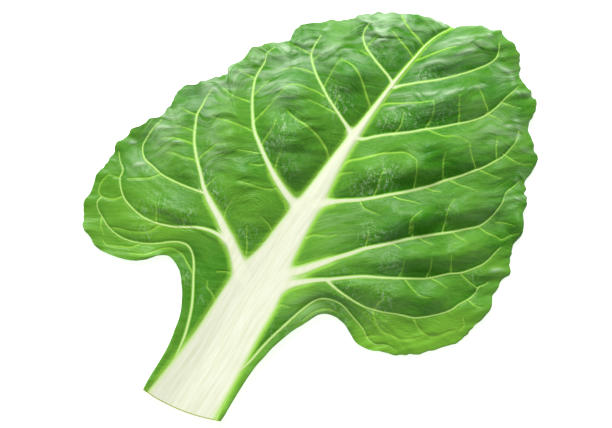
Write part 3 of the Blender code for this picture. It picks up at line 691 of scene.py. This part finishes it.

# Where a grey-white painted sheen lies on the blade: X, Y, radius, amount.
SHEEN_PATCHES = (
    (-30, 252, 26, 0.22), (-74, 212, 22, 0.22), (10, 246, 22, 0.15), (8, 142, 14, 0.2), (-30, 160, 8, 0.1),
    (-62, 228, 20, 0.12), (-86, 190, 18, 0.15), (-46, 256, 16, 0.1), (-15, 272, 14, 0.1),
    (40, 262, 16, 0.05), (0, 262, 12, 0.15), (-104, 150, 16, 0.15), (45, 235, 14, 0.15),
    (75, 205, 16, 0.15), (0, 230, 16, 0.12), (-100, 165, 9, 0.6), (-72, 186, 12, 0.5), (-90, 190, 8, 0.4),
    (-110, 130, 10, 0.45), (-62, 216, 10, 0.4), (-48, 250, 9, 0.45), (-76, 206, 9, 0.45),
    (-96, 150, 10, 0.3), (-25, 268, 10, 0.15), (13, 278, 9, 0.4), (-40, 246, 10, 0.45), (-112, 132, 8, 0.2),
    (34, 275, 6, 0.4), (58, 252, 7, 0.4), (-95, 176, 8, 0.6), (50, 142, 7, 0.3), (26, 90, 12, 0.3),
    (-100, 114, 10, 0.2), (-50, 157, 9, 0.15), (-38, 208, 8, 0.1), (-88, 143, 8, 0.35), (-117, 122, 6, 0.4),
    (-64, 188, 9, 0.3), (35, 160, 9, 0.15), (-108, 115, 7, 0.3), (-75, 126, 8, 0.3), (-76, 132, 9, 0.3),
    (-104, 100, 8, 0.3), (50, 245, 9, 0.25), (80, 232, 5, 0.35), (-40, 228, 9, 0.2), (-42, 262, 8, 0.15),
)

# Where the streaks of the puckers are fainter: X, Y, radius, amount.
CALM_PATCHES = (
    (-98, 70, 34, -0.65), (92, 116, 26, -0.5), (112, 145, 18, -0.4), (12, 118, 24, -0.6),
    (-35, 60, 26, -0.6), (104, 174, 9, -0.5), (76, 246, 8, -0.5), (54, 270, 8, -0.4), (-95, 160, 18, -0.2),
    (-112, 125, 14, -0.2), (-45, 90, 18, -0.4), (20, 50, 30, -0.6), (-25, 20, 30, -0.6),
    (40, 100, 16, -0.4), (-112, 95, 16, -0.4),
)

# Patches of lighter, yellower colour for an amount above nothing and deeper colour for one below: partly
# the tissue's own younger and older colour, partly painted light on lobes that face the lamp and painted
# shade on slopes that face away from it. X, Y, radius, amount.
TONE_AND_SHADING_PATCHES = (
    (-26, 5, 18, 0.15), (-28, 26, 14, 0.1), (22, 18, 18, 0.35), (20, 45, 14, 0.25), (26, 88, 14, 0.3),
    (-100, 112, 12, 0.3), (-65, 80, 16, 0.25), (-69, 201, 9, -0.35), (-66, 193, 7, -0.3),
    (-4, 273, 6, -0.4), (5, 246, 7, -0.3), (25, 228, 7, -0.3), (28, 178, 7, -0.3), (75, 140, 9, -0.2),
    (97, 152, 8, -0.3), (52, 252, 9, -0.2), (-40, 221, 8, -0.3), (-88, 120, 8, -0.3), (80, 130, 11, -0.4),
    (40, 157, 8, -0.25), (52, 178, 8, -0.25), (55, 147, 10, -0.35), (68, 155, 8, -0.25),
    (-67, 205, 8, -0.4), (-77, 95, 9, -0.25), (-30, 252, 26, -0.4), (-74, 212, 22, -0.38),
    (10, 246, 24, -0.3), (-60, 180, 16, -0.1), (-108, 150, 14, -0.35), (-40, 225, 14, -0.15),
    (100, 180, 9, 0.35), (50, 92, 9, -0.3), (-45, 241, 12, -0.3), (-48, 252, 7, -0.4),
    (-102, 150, 10, -0.4), (-110, 100, 12, -0.2), (34, 262, 11, -0.35), (55, 262, 9, -0.3),
    (-38, 222, 8, -0.25), (2, 243, 7, -0.3), (-75, 182, 8, -0.2), (-54, 138, 9, -0.3), (-32, 266, 10, -0.3),
    (-52, 68, 8, -0.2), (-95, 54, 14, -0.15), (54, 265, 6, -0.4), (32, 264, 8, -0.3), (-95, 55, 26, 0.45),
    (-112, 82, 20, 0.1), (-75, 72, 14, 0.3), (-95, 92, 18, 0.1), (90, 112, 26, 0.7), (102, 138, 18, 0.5),
    (66, 100, 16, 0.4), (28, 208, 8, -0.6), (62, 100, 16, 0.3), (8, 130, 20, 0.3), (14, 95, 14, 0.4),
    (80, 180, 16, 0.2), (96, 195, 14, -0.2), (55, 258, 14, 0.2), (-45, 118, 22, 0.3), (-80, 140, 20, 0.15),
    (-40, 250, 18, 0.1), (-36, 162, 7, -0.2), (-28, 206, 8, -0.4), (22, 234, 7, -0.3), (40, 160, 8, -0.35),
    (54, 175, 8, -0.35), (26, 184, 9, -0.4), (42, 210, 9, -0.3), (12, 221, 9, -0.5), (2, 249, 8, -0.6),
    (32, 245, 9, 0.3), (84, 140, 10, -0.15), (60, 135, 10, -0.1), (-40, 80, 12, -0.1),
)


def patchwork(x, y, patches):
    """Sum of round patches, each its amount times exp(-(distance / radius) ** 2)."""
    total = np.zeros(x.shape)
    for place_x, place_y, radius, amount in patches:
        total += amount * np.exp(-((x - place_x) ** 2 + (y - place_y) ** 2) / radius**2)
    return total


def heights():
    """Height of the top's grid. It goes smoothly from the rib's edge to the margin, plus each half's swell,
    the puckers between veins, ripples and wrinkles, single bulges, the margin's folds and crests, and the
    rib's own channel and groove."""
    left_swell, right_swell = np.maximum(through(SWELL, row_number).T, 0)[:, :, None]
    swell = np.where(leaf_side < 0, left_swell, right_swell)
    margin_z = np.where(leaf_side < 0, halves[0][:, [2]], halves[1][:, [2]])
    ease = leaf_share**2 * (3 - 2 * leaf_share)
    base = rib_top * (1 - ease) + (margin_z + BLADE_THICKNESS) * ease
    peak = SWELL_RISE / (SWELL_RISE + SWELL_FALL)
    full = peak**SWELL_RISE * (1 - peak) ** SWELL_FALL
    bulge = leaf_share**SWELL_RISE * (1 - leaf_share) ** SWELL_FALL / full
    from_rib = 1 - np.exp(-np.maximum(rib_edge, 0) / RIB_REACH)
    room = side_risen * from_rib * np.clip(1 + patchwork(leaf_x, leaf_y, PUCKER_PATCHES), 0.1, None)
    raised = np.where(leaf_side == 0, 0, room)
    z = base + bulge * swell
    pucker = PUCKER_HEIGHT * raised + QUILT_HEIGHT * raised * fine_risen
    z += pucker * (1 - MARGIN_LOSS * leaf_share**MARGIN_POWER)
    ripple = np.zeros(z.shape)
    for half, heading in zip((-1, 1), np.radians(VEIN_HEADINGS)):
        waves = sum(height * wave_noise(leaf_x, leaf_y, length, stretch, heading, seed)
                    for height, length, stretch, seed in RIPPLES)
        ripple = np.where(leaf_side == half, waves, ripple)
    for (corner_x, corner_y), (middle_x, middle_y), radius, length, height in WRINKLES:
        out = np.hypot(leaf_x - corner_x, leaf_y - corner_y) + wrinkle_sway
        patch = np.exp(-((leaf_x - middle_x) ** 2 + (leaf_y - middle_y) ** 2) / radius**2)
        wave = 1 - WRINKLE_FALL * np.abs(np.sin(np.pi * out / length)) ** WRINKLE_POWER
        ripple += patch * height * wave
    z += ripple * np.clip(raised / RIPPLE_FULL, 0, 1) ** RIPPLE_POWER
    off_vein = (leaf_side != 0) * (1 - np.exp(-np.maximum(side_edge, 0) / BULGE_REACH))
    for x, y, long, wide, height in BULGES:
        along = ((leaf_x - x) * math.cos(BULGE_HEADING) + (leaf_y - y) * math.sin(BULGE_HEADING)) / long
        across = ((leaf_y - y) * math.cos(BULGE_HEADING) - (leaf_x - x) * math.sin(BULGE_HEADING)) / wide
        z += height * np.exp(-((along**2 + across**2) ** BULGE_POWER)) * off_vein
    for fold, height, tip_width, base_width in FOLDS:
        offset, _, along, _ = beside(leaf_x, leaf_y, np.column_stack([fold, np.zeros(len(fold))]))
        width = np.where(offset > 0, tip_width, base_width)
        z += height * np.clip(along / FOLD_RISE, 0, 1) ** FOLD_POWER * np.exp(-((offset / width) ** 2))
    z += CREST_HEIGHT * crest
    channel, groove = np.zeros(z.shape), np.zeros(z.shape)
    channel[:, ON_RIB] = 1 - rib_across**2
    groove[:, ON_RIB] = np.exp(-(((rib_across - GROOVE_PLACE) / GROOVE_HALF) ** 2))
    z -= GROOVE_DEPTH * groove * np.clip((GROOVE_END - leaf_y) / GROOVE_FADE, 0, 1)
    z += through(RIB_CROWN, leaf_y[:, RIB_MIDDLE]) * channel
    return np.maximum(z, BLADE_THICKNESS)


ARC_REACH = 1.2  # of the wrinkled part's radius
ARC_EDGE, ARC_FULL = 2.5, 3.0  # how steeply the share grows away from where two sets meet, and inwards


def wrinkle_arcs():
    """Where each point lies in the nearest set of wrinkles: the way round their corner and out from it, and
    a share that fades to nothing where two sets meet."""
    best, second = np.full(leaf_x.shape, 1e-3), np.full(leaf_x.shape, 1e-3)
    length, out = np.zeros(leaf_x.shape), np.zeros(leaf_x.shape)
    for (corner_x, corner_y), (middle_x, middle_y), radius, _, _ in WRINKLES:
        reach = ARC_REACH * radius
        weight = np.exp(-((leaf_x - middle_x) ** 2 + (leaf_y - middle_y) ** 2) / reach**2)
        weight = weight * (np.sign(middle_x) * leaf_side > 0)
        run_x, run_y = middle_x - corner_x, middle_y - corner_y
        off_x, off_y = leaf_x - corner_x, leaf_y - corner_y
        angle = np.arctan2(run_x * off_y - run_y * off_x, run_x * off_x + run_y * off_y)
        closer = weight > best
        second = np.where(closer, best, np.maximum(second, weight))
        length = np.where(closer, angle * math.hypot(run_x, run_y), length)
        out = np.where(closer, np.hypot(off_x, off_y) + wrinkle_sway, out)
        best = np.where(closer, weight, best)
    alone = np.clip(ARC_EDGE * (best - second) / best, 0, 1)
    return length, out, alone * np.clip(ARC_FULL * best, 0, 1)


def crests():
    """How near each point is to the crest of a crimp: 1 on its line, less beside it and towards its ends."""
    crest = np.zeros(leaf_x.shape)
    for points in CRESTS:
        line = smooth_line(np.column_stack([points, np.zeros(len(points))]))
        offset, _, along, _ = beside(leaf_x, leaf_y, line)
        fullness = np.clip(4 * along * (1 - along) + 0.1, 0, 1)
        crest = np.maximum(crest, np.exp(-((offset / CREST_HALF) ** 2)) * fullness)
    return crest


# Painted shade: the tissue is coloured deeper close to a side vein on its tip side, where the blade slopes
# down to the vein away from the lamp.
SHADE_LEFT, SHADE_RIGHT, SHADE_REACH = 0.2, 0.4, 5.0
shade_beside_veins = np.exp(-np.maximum(side_edge, 0) / SHADE_REACH) * (side_offset * leaf_side > 0)
shade_beside_veins = shade_beside_veins * np.where(leaf_side < 0, SHADE_LEFT, SHADE_RIGHT)
crest = crests()
leaf_z = heights()

# ---------------------------------------------------------------------------------------------------------
# The leaf itself: blade, veins and stalk, grown as one piece of living tissue. Its skin is the top's grid,
# the underside a blade's thickness below it with the rib's back down to the table, a thin wall round the
# margin and the cut face across the stalk.
# ---------------------------------------------------------------------------------------------------------

CUT_LEAN = 1.2  # how far the knife ran in under the cut's upper edge
RIDGE_DEPTH = 1.3  # of a side vein's back under the blade, for each millimetre of its half width
RIDGE_WIDTH, RIDGE_FOOT = 1.6, 1.0  # its half width there: this many times the vein's own, plus this
PLAN_CORNER = (-126.406, -7.216)  # the plan's place of the low corner of the CAD solid
SHARP_FROM = 75  # degrees between faces at which an edge is shaded sharp: the cut's rim and the margin


def leaf_skin():
    """Vertices in millimetres and faces with their material: top 0, underside 1, cut face 2."""
    rows, columns = leaf_x.shape
    under = slice(None, None, UNDER_STEP)
    keel = np.zeros(leaf_x.shape)
    keel[:, ON_RIB] = rib_depth * np.sqrt(1 - rib_across**2)
    ridge_half = RIDGE_WIDTH * side_half + RIDGE_FOOT
    ridge = RIDGE_DEPTH * side_half * np.sqrt(np.clip(1 - (side_offset / ridge_half) ** 2, 0, 1))
    keel += ridge * (leaf_side != 0)
    below = np.maximum(leaf_z - BLADE_THICKNESS - keel, 0)
    top_points = np.stack([leaf_x, leaf_y, leaf_z], -1).reshape(-1, 3)
    under_points = np.stack([leaf_x[:, under], leaf_y[:, under], below[:, under]], -1)
    under_points[0, :, 1] += CUT_LEAN
    few = under_points.shape[1]
    top_at = np.arange(rows * columns).reshape(rows, columns)
    under_at = rows * columns + np.arange(rows * few).reshape(rows, few)
    faces, kinds = [], []

    def quads(a, b, c, d, kind):
        made = np.stack([a, b, c, d], -1).reshape(-1, 4).tolist()
        faces.extend(made)
        kinds.extend([kind] * len(made))

    quads(top_at[:-1, :-1], top_at[:-1, 1:], top_at[1:, 1:], top_at[1:, :-1], 0)
    quads(under_at[:-1, :-1], under_at[1:, :-1], under_at[1:, 1:], under_at[:-1, 1:], 1)
    quads(top_at[:-1, 0], top_at[1:, 0], under_at[1:, 0], under_at[:-1, 0], 1)
    quads(top_at[:-1, -1], under_at[:-1, -1], under_at[1:, -1], top_at[1:, -1], 1)
    for row, turned, kind in ((0, False, 2), (-1, True, 1)):
        for i in range(few - 1):
            over = top_at[row, UNDER_STEP * i : UNDER_STEP * i + UNDER_STEP + 1].tolist()
            face = [int(under_at[row, i]), int(under_at[row, i + 1]), *over[::-1]]
            faces.append(face[::-1] if turned else face)
            kinds.append(kind)
    return np.concatenate([top_points, under_points.reshape(-1, 3)]), faces, kinds


# What the mesh's points keep for the materials: distances in millimetres, and shares.
arc_length, arc_radius, arc_share = wrinkle_arcs()
kept_values = {
    "pale_edge": pale_edge,
    "side_offset": side_offset,
    "side_half": side_half,
    "side_core": CORE_SHARE * side_half,
    "side_edge": side_edge,
    "fine_offset": fine_offset,
    "fine_half": fine_half,
    "fine_edge": fine_edge,
    "share": leaf_share * np.sign(leaf_side),
    "rib_across": rib_offset,
    "cut_gap": cut_gap,
    # Painted light and shade in patches, with the tissue's own younger and older colour, less the painted
    # shade beside the side veins.
    "tone_and_shading": patchwork(leaf_x, leaf_y, TONE_AND_SHADING_PATCHES) - shade_beside_veins,
    # Where the crinkles and their painted glints and painted shade lie.
    "flecks": np.clip(patchwork(leaf_x, leaf_y, FLECK_PATCHES), 0, 1),
    # Crest lines, raised in the relief and given a painted sheen.
    "crest": crest,
    # Where painted sheen lies in patches.
    "sheen_patch": np.clip(patchwork(leaf_x, leaf_y, SHEEN_PATCHES), 0, 1),
    "arc_length": arc_length,
    "arc_radius": arc_radius,
    "arc_share": arc_share,
    "streaked": np.clip(1 + patchwork(leaf_x, leaf_y, CALM_PATCHES), 0.2, 1),
}


def leaf_mesh(name):
    """The skin as a mesh in the frame's metres, with the kept values on its points."""
    points, faces, kinds = leaf_skin()
    low = np.array(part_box("chard_leaf")[0])
    points = points * MM + np.array([low[0] - PLAN_CORNER[0] * MM, low[1] - PLAN_CORNER[1] * MM, low[2]])
    mesh = bpy.data.meshes.new(name)
    mesh.from_pydata(points.tolist(), [], faces)
    mesh.polygons.foreach_set("material_index", kinds)
    under = slice(None, None, UNDER_STEP)
    for key, values in kept_values.items():
        both_faces = np.concatenate([values.ravel(), values[:, under].ravel()])
        layer = mesh.attributes.new(key, "FLOAT", "POINT")
        layer.data.foreach_set("value", both_faces.astype(np.float32))
    mesh.shade_smooth()
    mesh.set_sharp_from_angle(angle=math.radians(SHARP_FROM))
    mesh.update()
    return mesh


leaf = bpy.data.objects.new("chard_leaf_skin", leaf_mesh("chard_leaf_skin"))
bpy.context.scene.collection.objects.link(leaf)
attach(leaf, "root")
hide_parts("chard_leaf")


def colour(code):
    """An sRGB hex colour as linear RGBA."""
    values = [int(code[i : i + 2], 16) / 255 for i in (1, 3, 5)]
    return (*[v / 12.92 if v <= 0.04045 else ((v + 0.055) / 1.055) ** 2.4 for v in values], 1)


def add(tree, kind, inputs=(), output=0, **settings):
    """Adds a node with its settings and links, and returns one of its outputs. Inputs are values or other
    nodes' outputs, in the node's own order or by number or name."""
    node = tree.nodes.new(kind)
    for name, value in settings.items():
        setattr(node, name, value)
    for key, value in inputs.items() if isinstance(inputs, dict) else enumerate(inputs):
        if isinstance(value, bpy.types.NodeSocket):
            tree.links.new(value, node.inputs[key])
        else:
            node.inputs[key].default_value = value
    return node.outputs[output]


def living_tissue(name, deep, light, young, halo, branch, thin, slim_core, rib, rib_fibre, painted_sheen, roughness):
    """Leaf tissue with pale veins. Its colours are those of old and young blade, of the glow beside a vein,
    of fine, thin and stout veins, of the rib and its fibres, and of a grey-white painted sheen laid on it."""
    material = bpy.data.materials.new(name)
    material.use_nodes = True
    tree = material.node_tree
    shader = tree.nodes["Principled BSDF"]
    place = add(tree, "ShaderNodeTexCoord", output="Object")
    kept = {key: add(tree, "ShaderNodeAttribute", output="Fac", attribute_name=key) for key in kept_values}

    # The blade's streaks run along each half's side veins, six times as long as broad, and sway by some
    # millimetres. The flecks lie across them and are curled.
    sway, curl = (
        add(tree, "ShaderNodeTexNoise", {"Vector": place, "Scale": scale, "Detail": 1.0}, "Color")
        for scale in (26.0, 260.0)
    )
    swayed, curled = (
        add(tree, "ShaderNodeVectorMath", (noise, (reach, reach, reach), place), operation="MULTIPLY_ADD")
        for noise, reach in ((sway, 0.012), (curl, 0.005))
    )
    left_place, right_place, fleck_place = (
        add(tree, "ShaderNodeMapping",
            {"Vector": vector, "Rotation": (0, 0, math.radians(heading)), "Scale": scale},
            vector_type="TEXTURE")
        for vector, heading, scale in (
            (swayed, VEIN_HEADINGS[0], (6, 1, 3)), (swayed, VEIN_HEADINGS[1], (6, 1, 3)),
            (curled, 127, (2.4, 1, 2)),
        )
    )
    on_right = add(tree, "ShaderNodeMath", (kept["share"], 0.0), operation="GREATER_THAN")
    along = add(tree, "ShaderNodeMix", {0: on_right, 4: left_place, 5: right_place}, 1, data_type="VECTOR")

    # Patches of tissue 36 mm wide, streaks 1.6 and 4.3 mm apart, a grain of 1.1 mm and flecks of 1.4 mm. Real
    # streaks and flecks go down to about 0.5 mm, too fine to show on a whole leaf, so these are coarser.
    broad, streak, wide_streak, fine, fleck = (
        add(tree, "ShaderNodeTexNoise",
            {"Vector": vector, "Scale": scale, "Detail": detail, "Roughness": rough})
        for vector, scale, detail, rough in (
            (place, 28.0, 3.0, 0.5), (along, 620.0, 4.0, 0.66), (along, 230.0, 2.0, 0.5),
            (place, 900.0, 3.0, 0.5), (fleck_place, 720.0, 2.0, 0.55),
        )
    )
    # The same streaks again, run round the corners of the wrinkled parts. They are five times as long as
    # broad there.
    round_place = add(tree, "ShaderNodeCombineXYZ", (
        add(tree, "ShaderNodeMath", (kept["arc_length"], 0.2 * MM), operation="MULTIPLY"),
        add(tree, "ShaderNodeMath", (kept["arc_radius"], MM), operation="MULTIPLY"),
    ))
    streak, wide_streak = (
        add(tree, "ShaderNodeMix", {
            0: kept["arc_share"], 2: straight,
            3: add(tree, "ShaderNodeTexNoise",
                   {"Vector": round_place, "Scale": scale, "Detail": 4.0, "Roughness": 0.64}),
        })
        for straight, scale in ((streak, 560.0), (wide_streak, 240.0))
    )
    # The finest net of veins, with fields of 4.8 mm. The real ones are 1 to 2 mm and would turn into grain.
    net = add(tree, "ShaderNodeTexVoronoi", {"Vector": place, "Scale": 210.0}, "Distance",
              feature="DISTANCE_TO_EDGE")

    # How far outside each vein's edge a place lies, from the distances kept on the mesh.
    side, slim = (
        add(tree, "ShaderNodeMath",
            (add(tree, "ShaderNodeMath", (kept[offset],), operation="ABSOLUTE"), kept[half]),
            operation="SUBTRACT")
        for offset, half in (("side_offset", "side_core"), ("fine_offset", "fine_half"))
    )
    # Masks that go smoothly from 1 at the first number to 0 at the second, in the unit of their source.
    near = {
        key: add(tree, "ShaderNodeMapRange", (value, inner, outer, 1.0, 0.0), interpolation_type="SMOOTHSTEP")
        for key, value, inner, outer in (
            ("rib", kept["pale_edge"], -1.7, 0.7),
            ("rib_glow", kept["pale_edge"], -0.3, 3.4),
            ("rib_heart", kept["pale_edge"], -3.6, 0.2),
            ("blade", kept["pale_edge"], 1.2, -0.6),
            ("side", side, -0.4, 0.15),
            ("side_only", kept["side_edge"], 0.8, 1.6),
            ("side_glow", kept["side_edge"], -0.1, 0.6),
            ("groove", kept["side_edge"], 0.2, 1.8),
            ("stout", kept["side_half"], 1.5, 0.4),
            ("slim", slim, -0.3, 0.2),
            ("slim_only", kept["fine_edge"], 0.8, 1.8),
            ("slim_glow", kept["fine_edge"], 0.0, 1.0),
            ("fine_groove", kept["fine_edge"], 0.0, 1.3),
            ("net", net, 0.01, 0.06),
            ("cut_rim", kept["cut_gap"], 0.3, 1.0),
            ("fleck_glint", fleck, 0.63, 0.52),
            ("fleck_shade", fleck, 0.38, 0.46),
            ("sheen_streak", wide_streak, 0.62, 0.36),
        )
    }
    # Products of two masks and a strength. Those of the flecks are painted glints and painted shade, those of
    # the crests and sheen patches painted sheen; the crinkle is relief.
    product = {
        key: add(tree, "ShaderNodeMath",
                 (add(tree, "ShaderNodeMath", (a, b), operation="MULTIPLY"), strength), operation="MULTIPLY")
        for key, a, b, strength in (
            ("side_line", near["side"], near["side_only"], 1.0),
            ("side_glow", near["side_glow"], 1.0, 0.85),
            ("slim_line", near["slim"], near["slim_only"], 0.75),
            ("slim_glow", near["slim_glow"], 1.0, 0.22),
            ("net", near["net"], 1.0, 0.08),
            ("fleck_glint", near["fleck_glint"], kept["flecks"], 0.6),
            ("fleck_shade", near["fleck_shade"], kept["flecks"], 0.6),
            ("crest", kept["crest"], near["sheen_streak"], 0.85),
            ("sheen_patch", kept["sheen_patch"], near["sheen_streak"], 1.0),
            ("crinkle", kept["flecks"], fine, 1.0),
        )
    }
    glow, white = (
        add(tree, "ShaderNodeMath", (by_rib, by_side), operation="MAXIMUM")
        for by_rib, by_side in ((near["rib_glow"], product["side_glow"]), (near["rib"], product["side_line"]))
    )
    glow = add(tree, "ShaderNodeMath", (glow, 1.3), operation="POWER")

    # The rib's long fibres, 1.9 mm apart and about 30 mm long, drawn coarser than the real ones.
    upward = add(tree, "ShaderNodeSeparateXYZ", (place,), "Y")
    fibre_place = add(tree, "ShaderNodeCombineXYZ", (
        add(tree, "ShaderNodeMath", (kept["rib_across"], MM), operation="MULTIPLY"),
        add(tree, "ShaderNodeMath", (upward, 0.06), operation="MULTIPLY"),
    ))
    fibre = add(tree, "ShaderNodeTexNoise",
                {"Vector": fibre_place, "Scale": 520.0, "Detail": 4.0, "Roughness": 0.65})
    fibre_share = add(tree, "ShaderNodeMapRange", (fibre, 0.62, 0.36, 0.0, 1.0))
    rib_tint, slim_tint = (
        add(tree, "ShaderNodeMix", {0: share, 6: first, 7: second}, 2, data_type="RGBA")
        for share, first, second in ((fibre_share, rib, rib_fibre), (near["stout"], thin, slim_core))
    )
    in_rib = near["rib_heart"]
    vein_tint = add(tree, "ShaderNodeMix", {0: in_rib, 6: slim_tint, 7: rib_tint}, 2, data_type="RGBA")

    # How light the green is: lighter in patches, and on the streaks, which is partly the tissue's own colour
    # and partly painted highlight along the wrinkles; then deeper where painted shade and older tissue lie.
    green = -0.5
    for source, share in ((broad, 0.9), (streak, 1.1)):
        green = add(tree, "ShaderNodeMath", (source, share, green), operation="MULTIPLY_ADD")
    shaded_and_aged = add(tree, "ShaderNodeMath", (kept["tone_and_shading"], 0.0), operation="MINIMUM")
    green = add(tree, "ShaderNodeMath", (green, shaded_and_aged), operation="ADD", use_clamp=True)
    lit_and_young = add(tree, "ShaderNodeMath", (kept["tone_and_shading"], 0.0), operation="MAXIMUM", use_clamp=True)

    # Colours laid over one another: older and younger tissue with painted light and shade, then net, painted
    # shade and painted glints of the flecks, painted sheen on crests and in patches, glows and veins.
    skin = deep
    for share, tint in (
        (green, light), (lit_and_young, young), (product["net"], halo), (product["fleck_shade"], deep),
        (product["fleck_glint"], painted_sheen), (product["crest"], painted_sheen), (product["sheen_patch"], painted_sheen), (glow, halo),
        (product["slim_glow"], halo), (product["slim_line"], branch), (white, vein_tint),
        (near["cut_rim"], colour("#a3b63c")),
    ):
        skin = add(tree, "ShaderNodeMix", {0: share, 6: skin, 7: tint}, 2, data_type="RGBA")
    tree.links.new(skin, shader.inputs["Base Color"])

    # Relief in millimetres: streaks, which are fainter where the blade is calm, then grain, flecks, the dips
    # beside veins and, on the blade only, a step up from them. The veins stand up a little.
    height = -1.5
    for source, rise in ((streak, 1.1), (wide_streak, 1.9)):
        height = add(tree, "ShaderNodeMath", (source, rise, height), operation="MULTIPLY_ADD")
    height = add(tree, "ShaderNodeMath", (height, kept["streaked"]), operation="MULTIPLY")
    for source, rise in (
        (fine, 0.12), (product["fleck_glint"], 0.15), (near["groove"], -0.5), (near["fine_groove"], -0.45),
        (1.0, 0.35), (product["crinkle"], 1.0),
    ):
        height = add(tree, "ShaderNodeMath", (source, rise, height), operation="MULTIPLY_ADD")
    height = add(tree, "ShaderNodeMath", (height, near["blade"]), operation="MULTIPLY")
    height = add(tree, "ShaderNodeMath", (white, 0.25, height), operation="MULTIPLY_ADD")
    bump = add(tree, "ShaderNodeBump", {"Height": height, "Distance": MM, "Strength": 0.55})
    # A vein's round crown catches light from all round, so it hardly changes with the slope of the blade.
    level = add(tree, "ShaderNodeMath", (product["side_line"], 0.8), operation="MULTIPLY")
    facing = add(tree, "ShaderNodeMix", {0: level, 4: bump, 5: (0, 0, 1)}, 1, data_type="VECTOR")
    facing = add(tree, "ShaderNodeVectorMath", (facing,), operation="NORMALIZE")
    tree.links.new(facing, shader.inputs["Normal"])
    dull = add(tree, "ShaderNodeMath", (broad, 0.2, roughness - 0.1), operation="MULTIPLY_ADD")
    tree.links.new(dull, shader.inputs["Roughness"])
    shader.inputs["IOR"].default_value = 1.45
    shader.inputs["Specular IOR Level"].default_value = 0.3
    return material


# The upper skin grew as smooth, tight cells under a thin film of wax: deep green with half-glossy lights on
# the ridges. A grey-white painted sheen lies on crests and in patches, and painted glints on the flecks.
leaf.data.materials.append(living_tissue(
    "chard_upper_skin", deep=colour("#337f04"), light=colour("#6aa53a"), young=colour("#86c838"),
    halo=colour("#98d645"), branch=colour("#a8de50"), thin=colour("#d2ef9c"), slim_core=colour("#dfebbf"),
    rib=colour("#f7fae4"), rib_fibre=colour("#e8edcd"), painted_sheen=colour("#abc99f"), roughness=0.39,
))
# The lower skin has looser cells, more pores and less wax, so it looks paler, greyer and duller.
leaf.data.materials.append(living_tissue(
    "chard_lower_skin", deep=colour("#5f9a44"), light=colour("#82b564"), young=colour("#9cc878"),
    halo=colour("#a9cf78"), branch=colour("#b4d888"), thin=colour("#cde2a2"), slim_core=colour("#dfebbf"),
    rib=colour("#eef3d8"), rib_fibre=colour("#e2e9c6"), painted_sheen=colour("#b9d3ae"), roughness=0.5,
))


def cut_flesh():
    """The stalk's cut face: one stroke of a knife left it flat and wet, so it shines softly. The fibres are
    seen end on as a grain of 1.4 mm, drawn coarser than real."""
    material = bpy.data.materials.new("cut_chard_flesh")
    material.use_nodes = True
    tree = material.node_tree
    shader = tree.nodes["Principled BSDF"]
    place = add(tree, "ShaderNodeTexCoord", output="Object")
    grain = add(tree, "ShaderNodeTexNoise", {"Vector": place, "Scale": 700.0, "Detail": 3.0})
    pale, green = colour("#eef0cf"), colour("#c9d48f")
    tint = add(tree, "ShaderNodeMix", {0: grain, 6: green, 7: pale}, 2, data_type="RGBA")
    tree.links.new(tint, shader.inputs["Base Color"])
    bump = add(tree, "ShaderNodeBump", {"Height": grain, "Distance": 0.4 * MM, "Strength": 0.5})
    tree.links.new(bump, shader.inputs["Normal"])
    shader.inputs["Roughness"].default_value = 0.4
    return material


leaf.data.materials.append(cut_flesh())

# ---------------------------------------------------------------------------------------------------------
# Table, light and camera. A plain near-white table, one broad soft lamp beyond the leaf's left shoulder,
# an even white surround, and a long lens straight above.
# ---------------------------------------------------------------------------------------------------------

TABLE_HALF = 6.0  # metres
table_mesh = bpy.data.meshes.new("table")
table_corners = [(TABLE_HALF * x, TABLE_HALF * y, 0) for x, y in ((-1, -1), (1, -1), (1, 1), (-1, 1))]
table_mesh.from_pydata(table_corners, [], [(0, 1, 2, 3)])
table = bpy.data.objects.new("table", table_mesh)
bpy.context.scene.collection.objects.link(table)
# Matt paint rolled on in an even coat, which shows no grain and no gloss. Its faint glow stands for the
# light that a bright room sends back into the leaf's shadow.
table_paint = bpy.data.materials.new("matt_white_table")
table_paint.use_nodes = True
table_shader = table_paint.node_tree.nodes["Principled BSDF"]
table_shader.inputs["Base Color"].default_value = colour("#f4f5f4")
table_shader.inputs["Roughness"].default_value = 0.8
table_shader.inputs["Emission Color"].default_value = (1, 1, 1, 1)
table_shader.inputs["Emission Strength"].default_value = 0.7
table_mesh.materials.append(table_paint)

world = bpy.data.worlds.new("white_surround")
world.use_nodes = True
world.node_tree.nodes["Background"].inputs["Color"].default_value = (1, 1, 1, 1)
world.node_tree.nodes["Background"].inputs["Strength"].default_value = 0.3
bpy.context.scene.world = world


def lamp(name, azimuth, elevation, distance, size, power):
    """A square soft lamp that faces the leaf from an azimuth on the plan and an elevation over the table,
    both in degrees, at a distance in metres."""
    light = bpy.data.lights.new(name, "AREA")
    light.shape, light.size, light.energy = "SQUARE", size, power
    one = bpy.data.objects.new(name, light)
    flat = math.cos(math.radians(elevation))
    one.location = (
        distance * flat * math.cos(math.radians(azimuth)),
        distance * flat * math.sin(math.radians(azimuth)),
        distance * math.sin(math.radians(elevation)),
    )
    one.rotation_euler = (math.radians(90 - elevation), 0, math.radians(azimuth + 90))
    bpy.context.scene.collection.objects.link(one)


lamp("key_lamp", 133, 45, 1.5, 0.7, 26.0)

CAMERA_LENS, SENSOR = 180.0, 36.0  # millimetres
VIEW_WIDTH = 0.3655  # metres across the view, at the leaf's mean height
VIEW_HEIGHT = 0.012  # that height over the table
VIEW_MIDDLE = (-0.0028, -0.0075)
VIEW_TURN = 37  # degrees by which the leaf lies turned in the view
camera_data = bpy.data.cameras.new("camera")
camera_data.lens, camera_data.sensor_width = CAMERA_LENS, SENSOR
camera_data.clip_end = 50
camera = bpy.data.objects.new("camera", camera_data)
camera.location = (*VIEW_MIDDLE, VIEW_WIDTH * CAMERA_LENS / SENSOR + VIEW_HEIGHT)
camera.rotation_euler = (0, 0, math.radians(VIEW_TURN))
bpy.context.scene.collection.objects.link(camera)
bpy.context.scene.camera = camera
bpy.context.scene.view_settings.view_transform = "Standard"
